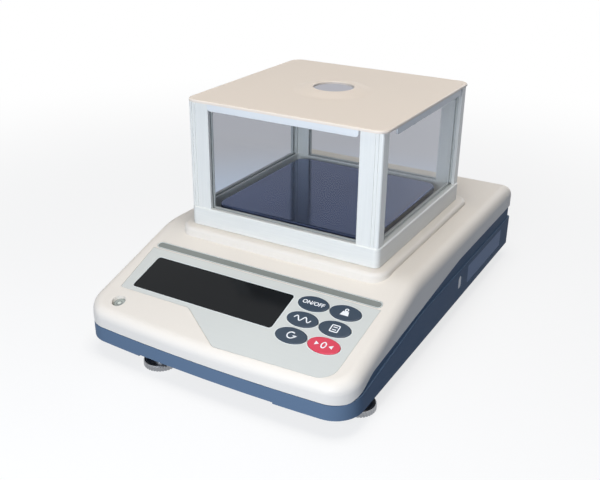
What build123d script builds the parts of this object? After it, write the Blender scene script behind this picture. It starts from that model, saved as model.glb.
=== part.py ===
from build123d import *
import os
from math import atan, cos, sin, sqrt

# Electronic laboratory balance with a square glass draft shield.
# Millimetres, +Z up, front towards -Y. The origin is on the table, under the middle of the footprint.

# Case: the footprint, and the heights of its parts above the table
case_width = 210.0
case_depth = 317.0
side_x = case_width / 2
front_y = -case_depth / 2
back_y = case_depth / 2
front_bow = 4.2
front_corner_radius = 20.0
case_back_radius = 4.0
cover_back_radius = 7.0
ground_gap = 14.0
floor_lift = 2.0
floor_thickness = 2.5
wall = 2.5
front_seam_height = 11.0
side_ledge_height = 25.0
side_seam_height = 36.0
ledge_inset = 1.0
band_wall = 2.0
cover_tongue = 2.0
tongue_gap = 0.5
seam_gap = 0.4
seat_gap = 0.3
stop_margin = 0.1
seam_flat_length = 10.5
seam_knee_place = 34.5
seam_knee_height = 10.5
seam_level_place = 185.0
seam_radii = (12.0, 25.0, 60.0)
ledge_flat_length = 6.5
ledge_level_place = 113.5
ledge_radii = (20.0, 60.0)
skirt_cutout_half = 53.0
skirt_cutout_height = 1.0

# Cover: a sloping panel in front that runs up to a level deck
panel_front_height = 23.0
panel_slope = 0.31
deck_height = 54.3
deck_bend_radius = 60.0
cover_rounding = 8.5

# Panel, measured from its front edge up the slope, and sideways from its middle
overlay_thickness = 0.4
overlay_recess = 0.5
overlay_side_margin = 12.4
overlay_taper = 3.3
overlay_front = 4.9
overlay_step = 28.9
overlay_back = 73.0
overlay_step_x = -29.6
overlay_notch_x = 5.7
overlay_bow = 3.2
overlay_front_radius = 12.0
overlay_step_radius = 7.0
overlay_left_radius = 1.5
strip_middle = 77.2
strip_height = 6.4
strip_side_margin = 13.2
window_left_margin = 23.3
window_right_margin = 72.0
window_front = 33.0
window_height = 32.2
window_thickness = 1.4
window_proud = 0.3
window_corner_radius = 2.2
window_ledge = 2.0
key_column_margin = 32.5
key_column_pitch = 23.6
key_row_front = 32.1
key_row_pitch = 15.2
key_half_width = 11.2
key_half_height = 6.5
key_proud = 0.5
key_travel = 0.5
key_gap = 0.25
key_edge_radius = 0.4
key_flange_reach = 0.45
key_flange_thickness = 1.5
key_stem_radius = 2.5
level_margin = 24.0
level_along = 16.2
level_hole_radius = 5.0
level_cup_wall = 1.5
level_cup_depth = 5.0
level_cup_floor = 1.0
level_vial_inset = 0.7
level_vial_clearance = 0.1
level_vial_rise = 0.4
level_vial_rounding = 0.8

# Draft shield: a frame, four posts, four panes and a lift-off lid
shield_centre_y = 15.2
frame_half = 77.0
frame_rail = 7.5
frame_height = 14.2
frame_corner_radius = 4.5
frame_edge = 0.8
plinth_height = 3.7
plinth_margin = 7.6
plinth_corner_radius = 12.0
post_inset = 1.0
post_width = 16.5
post_depth = 8.5
post_thickness = 6.0
post_height = 79.2
pane_thickness = 2.0
pane_edge = 0.3
shield_screw_grip = 10.0
pane_clearance = 0.2
trim_clearance = 0.2
pane_setback = 2.6
pane_seat_depth = 1.5
pane_slot_depth = 2.5
flute_width = 0.8
flute_depth = 0.5
flute_places = (2.6, 5.0)
post_corner_radius = 1.5
lid_half = 78.0
lid_thickness = 2.0
lid_corner_radius = 8.0
lip_half_length = 59.0
lip_height = 4.8
lip_thickness = 1.4
lip_end_radius = 2.5
lid_edge_radius = 0.8
boss_radius = 30.0
boss_top_radius = 17.5
boss_height = 2.5
lid_hole_radius = 15.0
lug_size = 7.0
lug_height = 4.0

# Weighing pan and what carries it
pan_size = 128.0
pan_corner_radius = 10.0
pan_height = 86.0
pan_sheet = 1.0
pan_rim = 5.0
carrier_size = 80.0
carrier_thickness = 2.5
carrier_corner_radius = 8.0
cushion_radius = 4.0
cushion_height = 5.5
spindle_radius = 6.0
spindle_hole_radius = 10.0
pan_travel = 0.4
dust_plate_thickness = 1.2
dust_collar_height = 4.0
dust_collar_wall = 3.0
dust_upstand = 5.5
dust_plate_gap = 1.5
dust_rim_width = 6.5
dust_rim_edge = 1.0

# Weighing sensor on its casting
plate_size = 160.0
plate_thickness = 6.0
plate_pad_height = 2.5
plate_pad_radius = 6.0
plate_pad_inset = 10.0
plate_corner_radius = 8.0
sensor_half_width = 15.0
sensor_length = 133.0
sensor_height = 22.0
sensor_front = 65.2
spacer_thickness = 4.0
spacer_length = 28.0
flexure_radius = 7.0
flexure_spread = 16.5
flexure_slot = 6.0
sensor_screw_radius = 2.5
sensor_screw_head_radius = 4.5
sensor_screw_head_height = 3.0
sensor_screw_grip = 9.0
arm_screw_grip = 7.0
arm_screw_room = 0.4
screw_row_inset = 7.0
sensor_row_pitch = 14.0
arm_row_pitch = 12.0
arm_thickness = 4.0
arm_lift = 2.2
arm_foot_length = 26.0
arm_reach = 10.0
strap_thickness = 2.0
strap_width = 10.0
hook_hole_radius = 8.0
hook_ring_radius = 4.0
hook_wire_radius = 1.2
hook_shank = 1.5
strap_bar_lift = 1.0

# Levelling feet
foot_radius = 12.0
foot_disc_height = 3.9
foot_dish_depth = 0.8
foot_flutes = 36
foot_flute_radius = 0.45
foot_edge = 0.6
foot_rim_width = 2.5
foot_hub_radius = 5.0
pad_thickness = 1.3
pad_recess = 0.5
pad_rim = 1.5
stud_radius = 3.0
stud_clearance = 0.05
insert_radius = 4.5
insert_clearance = 0.02
insert_height = 10.0
insert_boss_radius = 7.0
stud_length = 22.0
front_left_foot_margin = 56.0
front_left_foot_setback = 18.5
front_right_foot_margin = 12.7
front_right_foot_setback = 42.5
rear_foot_margin = 20.0
rear_foot_setback = 24.5

# Electronics, connectors and fasteners
board_thickness = 1.6
panel_board_depth = 10.0
panel_board_front = 18.0
panel_board_back = 70.0
panel_board_left_margin = 13.0
panel_board_right_margin = 15.0
panel_board_boss = 2.6
board_screw_inset = 4.0
board_screw_front_inset = 6.0
board_screw_grip = 4.5
tube_height = 6.0
tube_margin = 2.5
switch_size = 6.0
switch_height = 2.0
plunger_radius = 1.75
plunger_height = 0.6
main_board_plate_gap = 11.3
main_board_boss_gap = 6.0
main_board_lift = 1.5
main_board_gap = 0.5
pillar_radius = 3.5
bay_half_width = 62.0
bay_depth = 6.0
bay_bottom = 21.0
bay_top = 33.5
connector_height = 27.1
connector_hole_margin = 0.2
jack_x = -42.0
jack_width = 9.0
jack_depth = 12.0
jack_shoulder = 5.5
jack_nose_radius = 4.0
jack_nose_length = 1.5
jack_bore_radius = 2.8
jack_bore_depth = 8.0
jack_pin_radius = 1.0
jack_pin_drop = 1.0
serial_x = 4.0
serial_width = 18.6
serial_height = 9.6
serial_sheet = 0.7
serial_reach = 5.5
serial_tail = 6.0
serial_corner_radius = 2.0
serial_flange_width = 31.0
serial_flange_height = 12.0
serial_flange_thickness = 1.0
serial_insert_drop = 0.3
serial_insert_gap = 0.1
contact_pitch = 2.76
contact_row = 1.4
contact_radius = 0.6
contact_depth = 4.2
jackscrew_reach = 12.5
jackscrew_radius = 2.7
jackscrew_length = 4.0
jackscrew_bore = 1.2
ground_x = 48.0
ground_stud_radius = 2.0
ground_stud_reach = 5.4
ground_head_radius = 4.0
ground_head_height = 3.0
ground_nut_radius = 4.5
ground_nut_length = 4.0
ground_nut_flutes = 24
ground_flute_radius = 0.35
case_screw_radius = 1.5
case_screw_boss = 4.0
case_screw_grip = 6.0
case_screw_side_inset = 10.5
case_screw_front_inset = 12.0
case_screw_middle_place = 88.5
case_screw_back_inset = 43.0
boss_split = 16.0
screw_clearance = 0.1
screw_head_radius = 2.8
screw_head_height = 2.2
flat_head_height = 1.8
screw_tip_room = 2.0
label_length = 83.0
label_height = 15.0
label_back_margin = 67.0
label_bottom = 20.0
label_thickness = 0.5
label_sink = 0.1
plug_y = 32.0
plug_width = 6.0
plug_height = 10.4
plug_middle_z = 28.6
plug_depth = 1.0
plug_sink = 0.2
hook_cover_radius = 11.0
hook_cover_thickness = 1.5
hook_pivot_offset = 18.0
hook_cover_ear = 5.0
hook_cover_clearance = 0.06
hook_screw_head_height = 1.0

# Places worked out from the sizes above
bow_radius = (side_x**2 + front_bow**2) / (2 * front_bow)
floor_bottom = ground_gap + floor_lift
floor_top = floor_bottom + floor_thickness
front_seam_z = ground_gap + front_seam_height
side_ledge_z = ground_gap + side_ledge_height
side_seam_z = ground_gap + side_seam_height
deck_z = ground_gap + deck_height
panel_z = ground_gap + panel_front_height
panel_angle = atan(panel_slope)
overlay_half_width = side_x - overlay_side_margin
strip_half_width = side_x - strip_side_margin
window_left = window_left_margin - side_x
window_width = case_width - window_left_margin - window_right_margin
level_x = level_margin - side_x
panel_board_left = panel_board_left_margin - side_x
panel_board_right = side_x - panel_board_right_margin
deck_start_y = front_y + (deck_z - panel_z) / panel_slope
plinth_z = deck_z + plinth_height
frame_bottom = plinth_z + seat_gap
frame_top = frame_bottom + frame_height
post_outer = frame_half - post_inset
post_top = frame_top + post_height
pane_outer = post_outer - pane_setback
pane_inner = pane_outer - pane_thickness
shield_head_z = frame_bottom + screw_head_height + seat_gap
lid_bottom = post_top + seat_gap
lid_top = lid_bottom + lid_thickness
plate_bottom = floor_top + plate_pad_height
plate_top = plate_bottom + plate_thickness
sensor_bottom = plate_top + spacer_thickness
sensor_top = sensor_bottom + sensor_height
sensor_start = shield_centre_y - sensor_front
sensor_end = sensor_start + sensor_length
sensor_screw_hole = sensor_screw_radius + screw_clearance
sensor_screw_rows = (sensor_end - screw_row_inset - sensor_row_pitch, sensor_end - screw_row_inset)
sensor_head_z = plate_bottom + sensor_screw_head_height + seat_gap
arm_screw_rows = (sensor_start + screw_row_inset, sensor_start + screw_row_inset + arm_row_pitch)
arm_gap = pan_travel + stop_margin
arm_bottom = sensor_top + arm_gap + arm_lift
arm_top = arm_bottom + arm_thickness
strap_bar_bottom = plate_top + strap_bar_lift
pan_underside = pan_height - pan_sheet
carrier_top = pan_underside - cushion_height
carrier_bottom = carrier_top - carrier_thickness
boss_split_z = ground_gap + boss_split
bay_floor_y = back_y - bay_depth
label_middle_y = back_y - label_back_margin
foot_places = {
    "front_left": (front_left_foot_margin - side_x, front_y + front_left_foot_setback),
    "front_right": (side_x - front_right_foot_margin, front_y + front_right_foot_setback),
    "rear_left": (rear_foot_margin - side_x, back_y - rear_foot_setback),
    "rear_right": (side_x - rear_foot_margin, back_y - rear_foot_setback),
}
main_board_half = side_x - rear_foot_margin - insert_boss_radius - main_board_boss_gap
main_board_front = shield_centre_y + plate_size / 2 + main_board_plate_gap
main_board_bottom = floor_top + main_board_lift
main_board_top = main_board_bottom + board_thickness
screw_hole = case_screw_radius + screw_clearance
case_head_z = floor_bottom + screw_head_height + seat_gap
bay_wall_y = bay_floor_y - wall
main_board_back = bay_wall_y - main_board_gap
connector_holes = [
    (jack_x, jack_nose_radius + connector_hole_margin, 0),
    (serial_x, serial_width / 2 + 3 * connector_hole_margin, serial_height / 2 + 2 * connector_hole_margin),
    (ground_x, ground_stud_radius + connector_hole_margin / 2, 0),
]
window_seat = -overlay_recess + window_proud - window_thickness
switch_top = -panel_board_depth + switch_height
case_screw_x = side_x - case_screw_side_inset
case_screw_places = [
    (-side_x / 5, front_y + case_screw_front_inset),
    (side_x / 2, front_y + case_screw_front_inset),
    (-case_screw_x, front_y + case_screw_middle_place),
    (case_screw_x, front_y + case_screw_middle_place),
    (-case_screw_x, back_y - case_screw_back_inset),
    (case_screw_x, back_y - case_screw_back_inset),
]
key_columns = [side_x - key_column_margin - key_column_pitch, side_x - key_column_margin]
key_places = {
    "on_off_key": (key_columns[0], key_row_front + 2 * key_row_pitch),
    "sample_key": (key_columns[0], key_row_front + key_row_pitch),
    "mode_key": (key_columns[0], key_row_front),
    "calibration_key": (key_columns[1], key_row_front + 2 * key_row_pitch),
    "print_key": (key_columns[1], key_row_front + key_row_pitch),
    "zero_key": (key_columns[1], key_row_front),
}
panel = Plane(
    origin=(0, front_y, panel_z),
    x_dir=(1, 0, 0),
    z_dir=(0, -sin(panel_angle), cos(panel_angle)),
)

os.makedirs("parts", exist_ok=True)


def save(shape, node):
    """Write one piece to its own file."""
    export_step(shape, f"parts/{node}.step")


def block(x0, x1, y0, y1, z0, z1):
    """A box between two corners."""
    return Pos((x0 + x1) / 2, (y0 + y1) / 2, (z0 + z1) / 2) * Box(x1 - x0, y1 - y0, z1 - z0)


def rod(x, y, z0, z1, radius):
    """An upright cylinder between two heights."""
    return Pos(x, y, (z0 + z1) / 2) * Cylinder(radius, z1 - z0)


def bar_along_y(x, z, y0, y1, radius):
    """A cylinder that lies along Y."""
    return Pos(x, (y0 + y1) / 2, z) * Rot(90, 0, 0) * Cylinder(radius, y1 - y0)


def pad(x, y, z0, z1, width, depth, radius):
    """An upright prism with a rounded rectangle for its section."""
    return Pos(x, y, z0) * extrude(RectangleRounded(width, depth, radius), amount=z1 - z0)


def group(solids):
    """Separate solids that share one node."""
    return Compound(children=list(solids))


def plan_prism(inset, back_radius, z0, z1):
    """The footprint, drawn in by inset, as a prism: straight sides and a bowed front."""
    half = side_x - inset
    back = back_y - inset
    bow = bow_radius - inset
    bow_centre = front_y + bow_radius
    corner_y = bow_centre - sqrt(bow**2 - half**2)
    front = ThreePointArc((-half, corner_y), (0, bow_centre - bow), (half, corner_y))
    sides = Polyline((half, corner_y), (half, back), (-half, back), (-half, corner_y))
    outline = make_face(front + sides)
    front_corners = outline.vertices().sort_by(Axis.Y)[:2]
    outline = fillet(front_corners, front_corner_radius - inset)
    if back_radius > inset:
        back_corners = outline.vertices().sort_by(Axis.Y)[-2:]
        outline = fillet(back_corners, back_radius - inset)
    return Pos(0, 0, z0) * extrude(outline, amount=z1 - z0)


def under_profile(points, radii):
    """Everything under a side profile, which is given as (y, z) points with a radius at each bend."""
    line = FilletPolyline(*points, radius=radii)
    start = line @ 0
    end = line @ 1
    closing = Polyline((end.X, end.Y), (end.X, -case_depth), (start.X, -case_depth), (start.X, start.Y))
    region = make_face(line + closing)
    return extrude(Plane.YZ * region, amount=case_width, both=True)


def under_top(drop):
    """Everything under the cover's top, lowered by drop along its own normal."""
    slope_drop = drop / cos(panel_angle)
    bend_y = deck_start_y + (slope_drop - drop) / panel_slope
    start_y = front_y - case_width
    start_z = panel_z - slope_drop + panel_slope * (start_y - front_y)
    points = [(start_y, start_z), (bend_y, deck_z - drop), (back_y + case_width, deck_z - drop)]
    return under_profile(points, [deck_bend_radius - drop])


def under_seam(rise):
    """Everything under the line where the cover ends, raised by rise."""
    points = [
        (front_y - case_width, front_seam_z + rise),
        (front_y + seam_flat_length, front_seam_z + rise),
        (front_y + seam_knee_place, front_seam_z + seam_knee_height + rise),
        (front_y + seam_level_place, side_seam_z + rise),
        (back_y + case_width, side_seam_z + rise),
    ]
    return under_profile(points, list(seam_radii))


def under_ledge(rise):
    """Everything under the ledge that runs along the sides of the lower case."""
    points = [
        (front_y - case_width, front_seam_z + rise),
        (front_y + ledge_flat_length, front_seam_z + rise),
        (front_y + ledge_level_place, side_ledge_z + rise),
        (back_y + case_width, side_ledge_z + rise),
    ]
    return under_profile(points, list(ledge_radii))


def rounded_top(solid, radius):
    """Round the edges where the top of a shell block meets its upright walls."""
    rim = []
    for edge in solid.edges():
        middle = edge.position_at(0.5)
        across = abs(middle.X) < 1 and front_y + 20 < middle.Y < back_y - 20
        upright = abs(edge.tangent_at(0.5).Z) > 0.9
        if middle.Z > front_seam_z and not across and not upright:
            rim.append(edge)
    return fillet(rim, radius)


def shell_block(inset, back_radius):
    """The cover's outer block, or its cavity when inset is the wall."""
    prism = plan_prism(inset, back_radius, floor_bottom, deck_z + case_width)
    return rounded_top(prism & under_top(inset), cover_rounding - inset)


def on_panel(shape):
    """Put a shape drawn on the flat onto the sloping panel."""
    return panel.location * shape


def slope_block(x0, x1, s0, s1, z0, z1):
    """A box on the panel: sideways, up the slope and along its normal."""
    return on_panel(block(x0, x1, s0, s1, z0, z1))


def oval(x, s, z0, z1, margin):
    """An upright elliptical prism, the section of a key with a margin round it."""
    section = Ellipse(key_half_width + margin, key_half_height + margin)
    return Pos(x, s, z0) * extrude(section, amount=z1 - z0)


def window_prism(margin, z0, z1):
    """The window's rounded rectangle with a margin round it."""
    middle_x = window_left + window_width / 2
    middle_s = window_front + window_height / 2
    return pad(
        middle_x, middle_s, z0, z1,
        window_width + 2 * margin, window_height + 2 * margin, window_corner_radius,
    )


def overlay_prism(margin, z0, z1):
    """The printed overlay's outline: wide behind, with a slanted step at the front left."""
    half = overlay_half_width + margin
    front_half = half - overlay_taper
    points = [
        (-half, overlay_back + margin),
        (half, overlay_back + margin),
        (front_half, overlay_front + overlay_bow - margin),
        (overlay_notch_x - margin, overlay_front - margin),
        (overlay_step_x - margin, overlay_step - margin),
        (-front_half, overlay_step - margin),
    ]
    outline = make_face(Polyline(*points, close=True))
    corners = outline.vertices()
    outline = fillet([corners.sort_by_distance(points[2])[0]], overlay_front_radius)
    for index, radius in ((3, overlay_step_radius), (4, overlay_step_radius), (5, overlay_left_radius)):
        corner = outline.vertices().sort_by_distance(points[index])[0]
        outline = fillet([corner], radius)
    return Pos(0, 0, z0) * extrude(outline, amount=z1 - z0)


def strip_prism(margin, z0, z1):
    """The bare title strip above the overlay, with round ends."""
    height = strip_height + 2 * margin
    return pad(0, strip_middle, z0, z1, 2 * (strip_half_width + margin), height, height / 2 - 0.01)


panel_board_screws = [
    (x, s)
    for x in (panel_board_left + board_screw_inset, panel_board_right - board_screw_inset)
    for s in (panel_board_front + board_screw_front_inset, panel_board_back - board_screw_inset)
]
main_board_screws = [
    (sx * (main_board_half - board_screw_inset), y)
    for sx in (-1, 1)
    for y in (main_board_back - board_screw_inset, main_board_front + board_screw_inset)
]
plate_pads = [
    (sx * (plate_size / 2 - plate_pad_inset), shield_centre_y + sy * (plate_size / 2 - plate_pad_inset))
    for sx in (-1, 1)
    for sy in (-1, 1)
]


# Lower case: a blue tray with a ledge round its sides, a skirt and a bay for the connectors
def make_lower_case():
    """Lower wall up to the ledge, inset band up into the cover, floor, bosses and openings."""
    lower = plan_prism(0, case_back_radius, ground_gap, side_seam_z) & under_ledge(0)
    band = plan_prism(ledge_inset, cover_back_radius, floor_top, side_seam_z) & under_seam(0)
    tongue_inset = wall + tongue_gap
    tongue = plan_prism(tongue_inset, cover_back_radius, floor_top, side_seam_z + cover_tongue)
    body = lower + band + (tongue & under_seam(cover_tongue))
    inner = tongue_inset + band_wall
    body -= plan_prism(inner, cover_back_radius, floor_top, side_seam_z + case_width)
    body -= plan_prism(wall, case_back_radius, floor_top, side_seam_z) & under_ledge(-wall)
    body -= plan_prism(wall, case_back_radius, 0, floor_bottom)
    body -= block(-skirt_cutout_half, skirt_cutout_half, front_y - 1, front_y + 2 * front_bow,
                  0, ground_gap + skirt_cutout_height)
    bay_wall = block(-bay_half_width - wall, bay_half_width + wall, bay_floor_y - wall,
                     back_y - wall / 2, floor_top - 0.5, side_ledge_z - 0.5)
    body += bay_wall
    body -= block(-bay_half_width, bay_half_width, bay_floor_y, back_y + 1, bay_bottom, bay_top)
    for x, y in foot_places.values():
        body += rod(x, y, floor_bottom, floor_bottom + insert_height, insert_boss_radius)
    for x, y in foot_places.values():
        body -= rod(x, y, 0, floor_bottom + insert_height + 1, insert_radius)
    for x, y in case_screw_places:
        body += rod(x, y, floor_bottom, boss_split_z, case_screw_boss)
        body -= rod(x, y, 0, boss_split_z + 1, screw_hole)
        body -= rod(x, y, 0, case_head_z, screw_head_radius + 2 * screw_clearance)
    for x, y in plate_pads:
        body += rod(x, y, floor_bottom, plate_bottom, plate_pad_radius)
    for x, y in main_board_screws:
        body += rod(x, y, floor_bottom, main_board_bottom, pillar_radius)
        body -= rod(x, y, floor_bottom + 1, main_board_bottom + 1, screw_hole)
    body -= rod(0, shield_centre_y, 0, floor_top + 1, hook_hole_radius)
    body -= rod(hook_pivot_offset, shield_centre_y, 0, floor_top + 1, screw_hole)
    body -= block(side_x - label_thickness - label_sink, side_x + 1,
                  label_middle_y - label_length / 2 - trim_clearance,
                  label_middle_y + label_length / 2 + trim_clearance,
                  label_bottom - trim_clearance, label_bottom + label_height + trim_clearance)
    body -= side_slot(plug_depth, trim_clearance)
    for x, half_width, half_height in connector_holes:
        if half_height:
            body -= block(x - half_width, x + half_width, bay_wall_y - 1, bay_floor_y + 1,
                          connector_height - half_height, connector_height + half_height)
        else:
            body -= bar_along_y(x, connector_height, bay_wall_y - 1, bay_floor_y + 1, half_width)
    return body


def side_slot(depth, margin):
    """The small upright oval on the right side, as deep as the plug or its pocket."""
    section = SlotOverall(plug_height + 2 * margin, plug_width + 2 * margin)
    upright = Plane(origin=(side_x - depth, plug_y, plug_middle_z), x_dir=(0, 0, 1), z_dir=(1, 0, 0))
    return extrude(upright * section, amount=depth + margin)


lower_case = make_lower_case()
save(lower_case, "lower_case")


# Upper cover: the pale shell with the sloping panel, the deck and the low plinth of the shield
def make_upper_cover():
    """Rounded shell, plinth, screw bosses, and every pocket and hole of the panel."""
    outer = shell_block(0, cover_back_radius)
    cavity = shell_block(wall, cover_back_radius)
    plinth_half = frame_half + plinth_margin
    plinth = pad(0, shield_centre_y, deck_z - 2 * plinth_height, plinth_z,
                 2 * plinth_half, 2 * plinth_half, plinth_corner_radius)
    plinth = fillet(plinth.edges().group_by(Axis.Z)[-1], plinth_height * 0.8)
    under_half = plinth_half - wall
    under_plinth = pad(0, shield_centre_y, deck_z - 3 * plinth_height, plinth_z - wall,
                       2 * under_half, 2 * under_half, plinth_corner_radius - wall)
    body = (outer + plinth) - cavity - under_plinth
    body -= under_seam(seam_gap)
    for x, y in case_screw_places:
        body += rod(x, y, boss_split_z, deck_z, case_screw_boss) & (outer + plinth)
    for x, y in case_screw_places:
        body -= rod(x, y, 0, boss_split_z + case_screw_grip + screw_tip_room, screw_hole)
    for x, s in panel_board_screws:
        body += on_panel(rod(x, s, -panel_board_depth, -wall / 2, panel_board_boss))
        hole_end = -panel_board_depth + board_screw_grip + stop_margin
        body -= on_panel(rod(x, s, -panel_board_depth - 1, hole_end, screw_hole))
    body -= on_panel(overlay_prism(trim_clearance, -overlay_recess, 2))
    body -= on_panel(strip_prism(trim_clearance, -overlay_recess, 2))
    body -= on_panel(window_prism(trim_clearance, window_seat, 2))
    body -= on_panel(window_prism(-window_ledge, -2 * wall, 2))
    for x, s in key_places.values():
        body -= on_panel(oval(x, s, -2 * wall, 2, key_gap))
    body -= on_panel(rod(level_x, level_along, -2 * wall, 2, level_hole_radius))
    body -= rod(0, shield_centre_y, deck_z - 10, plinth_z + 1, spindle_hole_radius)
    return body


upper_cover = make_upper_cover()
save(upper_cover, "upper_cover")


# Panel pieces: printed overlay, bare title strip, dark window and the six keys
def make_overlay():
    """Thin printed sheet with holes for the window and the keys."""
    sheet = overlay_prism(0, -overlay_recess, -overlay_recess + overlay_thickness)
    sheet -= window_prism(trim_clearance, -2, 2)
    for x, s in key_places.values():
        sheet -= oval(x, s, -2, 2, key_gap)
    return on_panel(sheet)


def make_window():
    """Dark lens that rests on the ledge of its opening, flush with the overlay."""
    return on_panel(window_prism(0, window_seat, window_seat + window_thickness))


def make_key(x, s):
    """Oval cap with a flange behind the cover and a stem over its switch."""
    flange_top = -wall - seat_gap
    flange_bottom = flange_top - key_flange_thickness
    cap = oval(x, s, flange_bottom, key_proud, 0)
    cap = fillet(cap.edges().group_by(Axis.Z)[-1], key_edge_radius)
    flange = oval(x, s, flange_bottom, flange_top, key_flange_reach)
    stem_bottom = switch_top + plunger_height + key_travel + stop_margin
    stem = rod(x, s, stem_bottom, flange_bottom, key_stem_radius)
    return on_panel(cap + flange + stem)


save(make_overlay(), "panel_overlay")
save(on_panel(strip_prism(0, -overlay_recess, -overlay_recess + overlay_thickness)), "title_strip")
save(make_window(), "display_window")
for name, (x, s) in key_places.items():
    save(make_key(x, s), name)


# Display: glass tube and key switches on one board, which hangs on four bosses of the cover
def make_panel_board():
    """Board parallel to the panel, with holes for its screws."""
    board = block(panel_board_left, panel_board_right, panel_board_front, panel_board_back,
                  -panel_board_depth - board_thickness, -panel_board_depth)
    for x, s in panel_board_screws:
        board -= rod(x, s, -panel_board_depth - 2 * board_thickness, 0, screw_hole)
    return on_panel(board)


def make_switch(x, s):
    """One key switch with its plunger."""
    half = switch_size / 2
    base = block(x - half, x + half, s - half, s + half, -panel_board_depth, switch_top)
    return on_panel(base + rod(x, s, switch_top, switch_top + plunger_height, plunger_radius))


save(make_panel_board(), "display_board")
save(group(make_switch(x, s) for x, s in key_places.values()), "key_switches")
save(slope_block(window_left + tube_margin, window_left + window_width - tube_margin,
                 window_front + tube_margin, window_front + window_height - tube_margin,
                 -panel_board_depth, -panel_board_depth + tube_height), "display_tube")


# Bubble level under its round hole at the front left
def make_level():
    """A cup against the underside of the cover and the round vial in it."""
    vial_radius = level_hole_radius - level_vial_inset
    vial_bottom = -wall - level_cup_depth + level_cup_floor
    cup = rod(level_x, level_along, -wall - level_cup_depth, -wall, level_hole_radius + level_cup_wall)
    cup -= rod(level_x, level_along, vial_bottom, 0, vial_radius + level_vial_clearance)
    vial = rod(level_x, level_along, vial_bottom, -wall + level_vial_rise, vial_radius)
    vial = fillet(vial.edges().group_by(Axis.Z)[-1], level_vial_rounding)
    return on_panel(cup), on_panel(vial)


level_cup, level_vial = make_level()
save(level_cup, "level_cup")
save(level_vial, "level_vial")


# Weighing sensor: casting, spacer and the block whose free end carries the pan
def make_base_plate():
    """Casting on four pads of the floor, with the way through for the hook."""
    plate = pad(0, shield_centre_y, plate_bottom, plate_top, plate_size, plate_size, plate_corner_radius)
    plate -= rod(0, shield_centre_y, 0, plate_top + 1, hook_hole_radius)
    for y in sensor_screw_rows:
        plate -= rod(0, y, 0, plate_top + 1, sensor_screw_hole)
        plate -= rod(0, y, 0, sensor_head_z, sensor_screw_head_radius + 2 * screw_clearance)
    return plate


def make_load_cell():
    """Aluminium block with two round flexures joined by a slot, and holes at both ends."""
    cell = block(-sensor_half_width, sensor_half_width, sensor_start, sensor_end, sensor_bottom, sensor_top)
    middle_y = (sensor_start + sensor_end) / 2
    middle_z = (sensor_bottom + sensor_top) / 2
    for side in (-1, 1):
        hole = Rot(0, 90, 0) * Cylinder(flexure_radius, 3 * sensor_half_width)
        cell -= Pos(0, middle_y + side * flexure_spread, middle_z) * hole
    cell -= block(-2 * sensor_half_width, 2 * sensor_half_width, middle_y - flexure_spread,
                  middle_y + flexure_spread, middle_z - flexure_slot / 2, middle_z + flexure_slot / 2)
    for y in sensor_screw_rows:
        cell -= rod(0, y, 0, sensor_bottom + sensor_screw_grip + 1, sensor_screw_hole)
    for y in arm_screw_rows:
        cell -= rod(0, y, sensor_top - arm_screw_grip - screw_tip_room, sensor_top + 1,
                    sensor_screw_radius + arm_screw_room)
    return cell


def make_spacer():
    """Block that lifts the sensor's fixed end off the casting."""
    spacer = block(-sensor_half_width, sensor_half_width, sensor_end - spacer_length, sensor_end,
                   plate_top, sensor_bottom)
    for y in sensor_screw_rows:
        spacer -= rod(0, y, 0, sensor_bottom + 1, sensor_screw_hole)
    return spacer


def make_arm():
    """Arm over the sensor, with straps round it that carry the hook below."""
    half = sensor_half_width
    foot = block(-half, half, sensor_start, sensor_start + arm_foot_length, sensor_top + arm_gap, arm_bottom)
    arm = block(-half, half, sensor_start, shield_centre_y + arm_reach, arm_bottom, arm_top)
    strap_outer = half + 2 * strap_thickness
    y0 = shield_centre_y - strap_width / 2
    y1 = shield_centre_y + strap_width / 2
    loop = block(-strap_outer, strap_outer, y0, y1, strap_bar_bottom, arm_top)
    loop -= block(-half - strap_thickness, half + strap_thickness, y0 - 1, y1 + 1,
                  strap_bar_bottom + strap_thickness, arm_bottom)
    arm = foot + arm + loop
    for y in arm_screw_rows:
        arm -= rod(0, y, 0, arm_top + 1, sensor_screw_hole)
    return arm


def make_hook():
    """Wire eye under the arm's lower bar, for weighing below the balance."""
    ring_z = strap_bar_bottom - hook_shank - hook_ring_radius
    ring = Pos(0, shield_centre_y, ring_z) * Rot(90, 0, 0) * Torus(hook_ring_radius, hook_wire_radius)
    shank = rod(0, shield_centre_y, ring_z + hook_ring_radius, strap_bar_bottom, hook_wire_radius)
    return ring + shank


def cap_screw(x, y, z_head, z_tip, radius, head_radius, head_height):
    """Screw whose head stands at z_head and whose shank ends at z_tip, either way up."""
    up = 1 if z_tip > z_head else -1
    head_top = z_head - up * head_height
    head = rod(x, y, min(z_head, head_top), max(z_head, head_top), head_radius)
    return head + rod(x, y, min(z_head, z_tip), max(z_head, z_tip), radius)


save(make_base_plate(), "base_plate")
save(make_load_cell(), "load_cell")
save(make_spacer(), "sensor_spacer")
save(group(cap_screw(0, y, sensor_head_z, sensor_bottom + sensor_screw_grip, sensor_screw_radius,
                     sensor_screw_head_radius, sensor_screw_head_height) for y in sensor_screw_rows),
     "sensor_screws")
save(make_arm(), "receptor_arm")
save(group(cap_screw(0, y, arm_top, sensor_top - arm_screw_grip, sensor_screw_radius,
                     sensor_screw_head_radius, sensor_screw_head_height) for y in arm_screw_rows),
     "receptor_screws")
save(make_hook(), "weighing_hook")


# Pan and its carrier, which pass through the deck inside a dust plate
def make_spindle():
    """Round spindle on the arm with a square carrier for the pan."""
    spindle = rod(0, shield_centre_y, arm_top, carrier_bottom, spindle_radius)
    return spindle + pad(0, shield_centre_y, carrier_bottom, carrier_top,
                         carrier_size, carrier_size, carrier_corner_radius)


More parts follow.
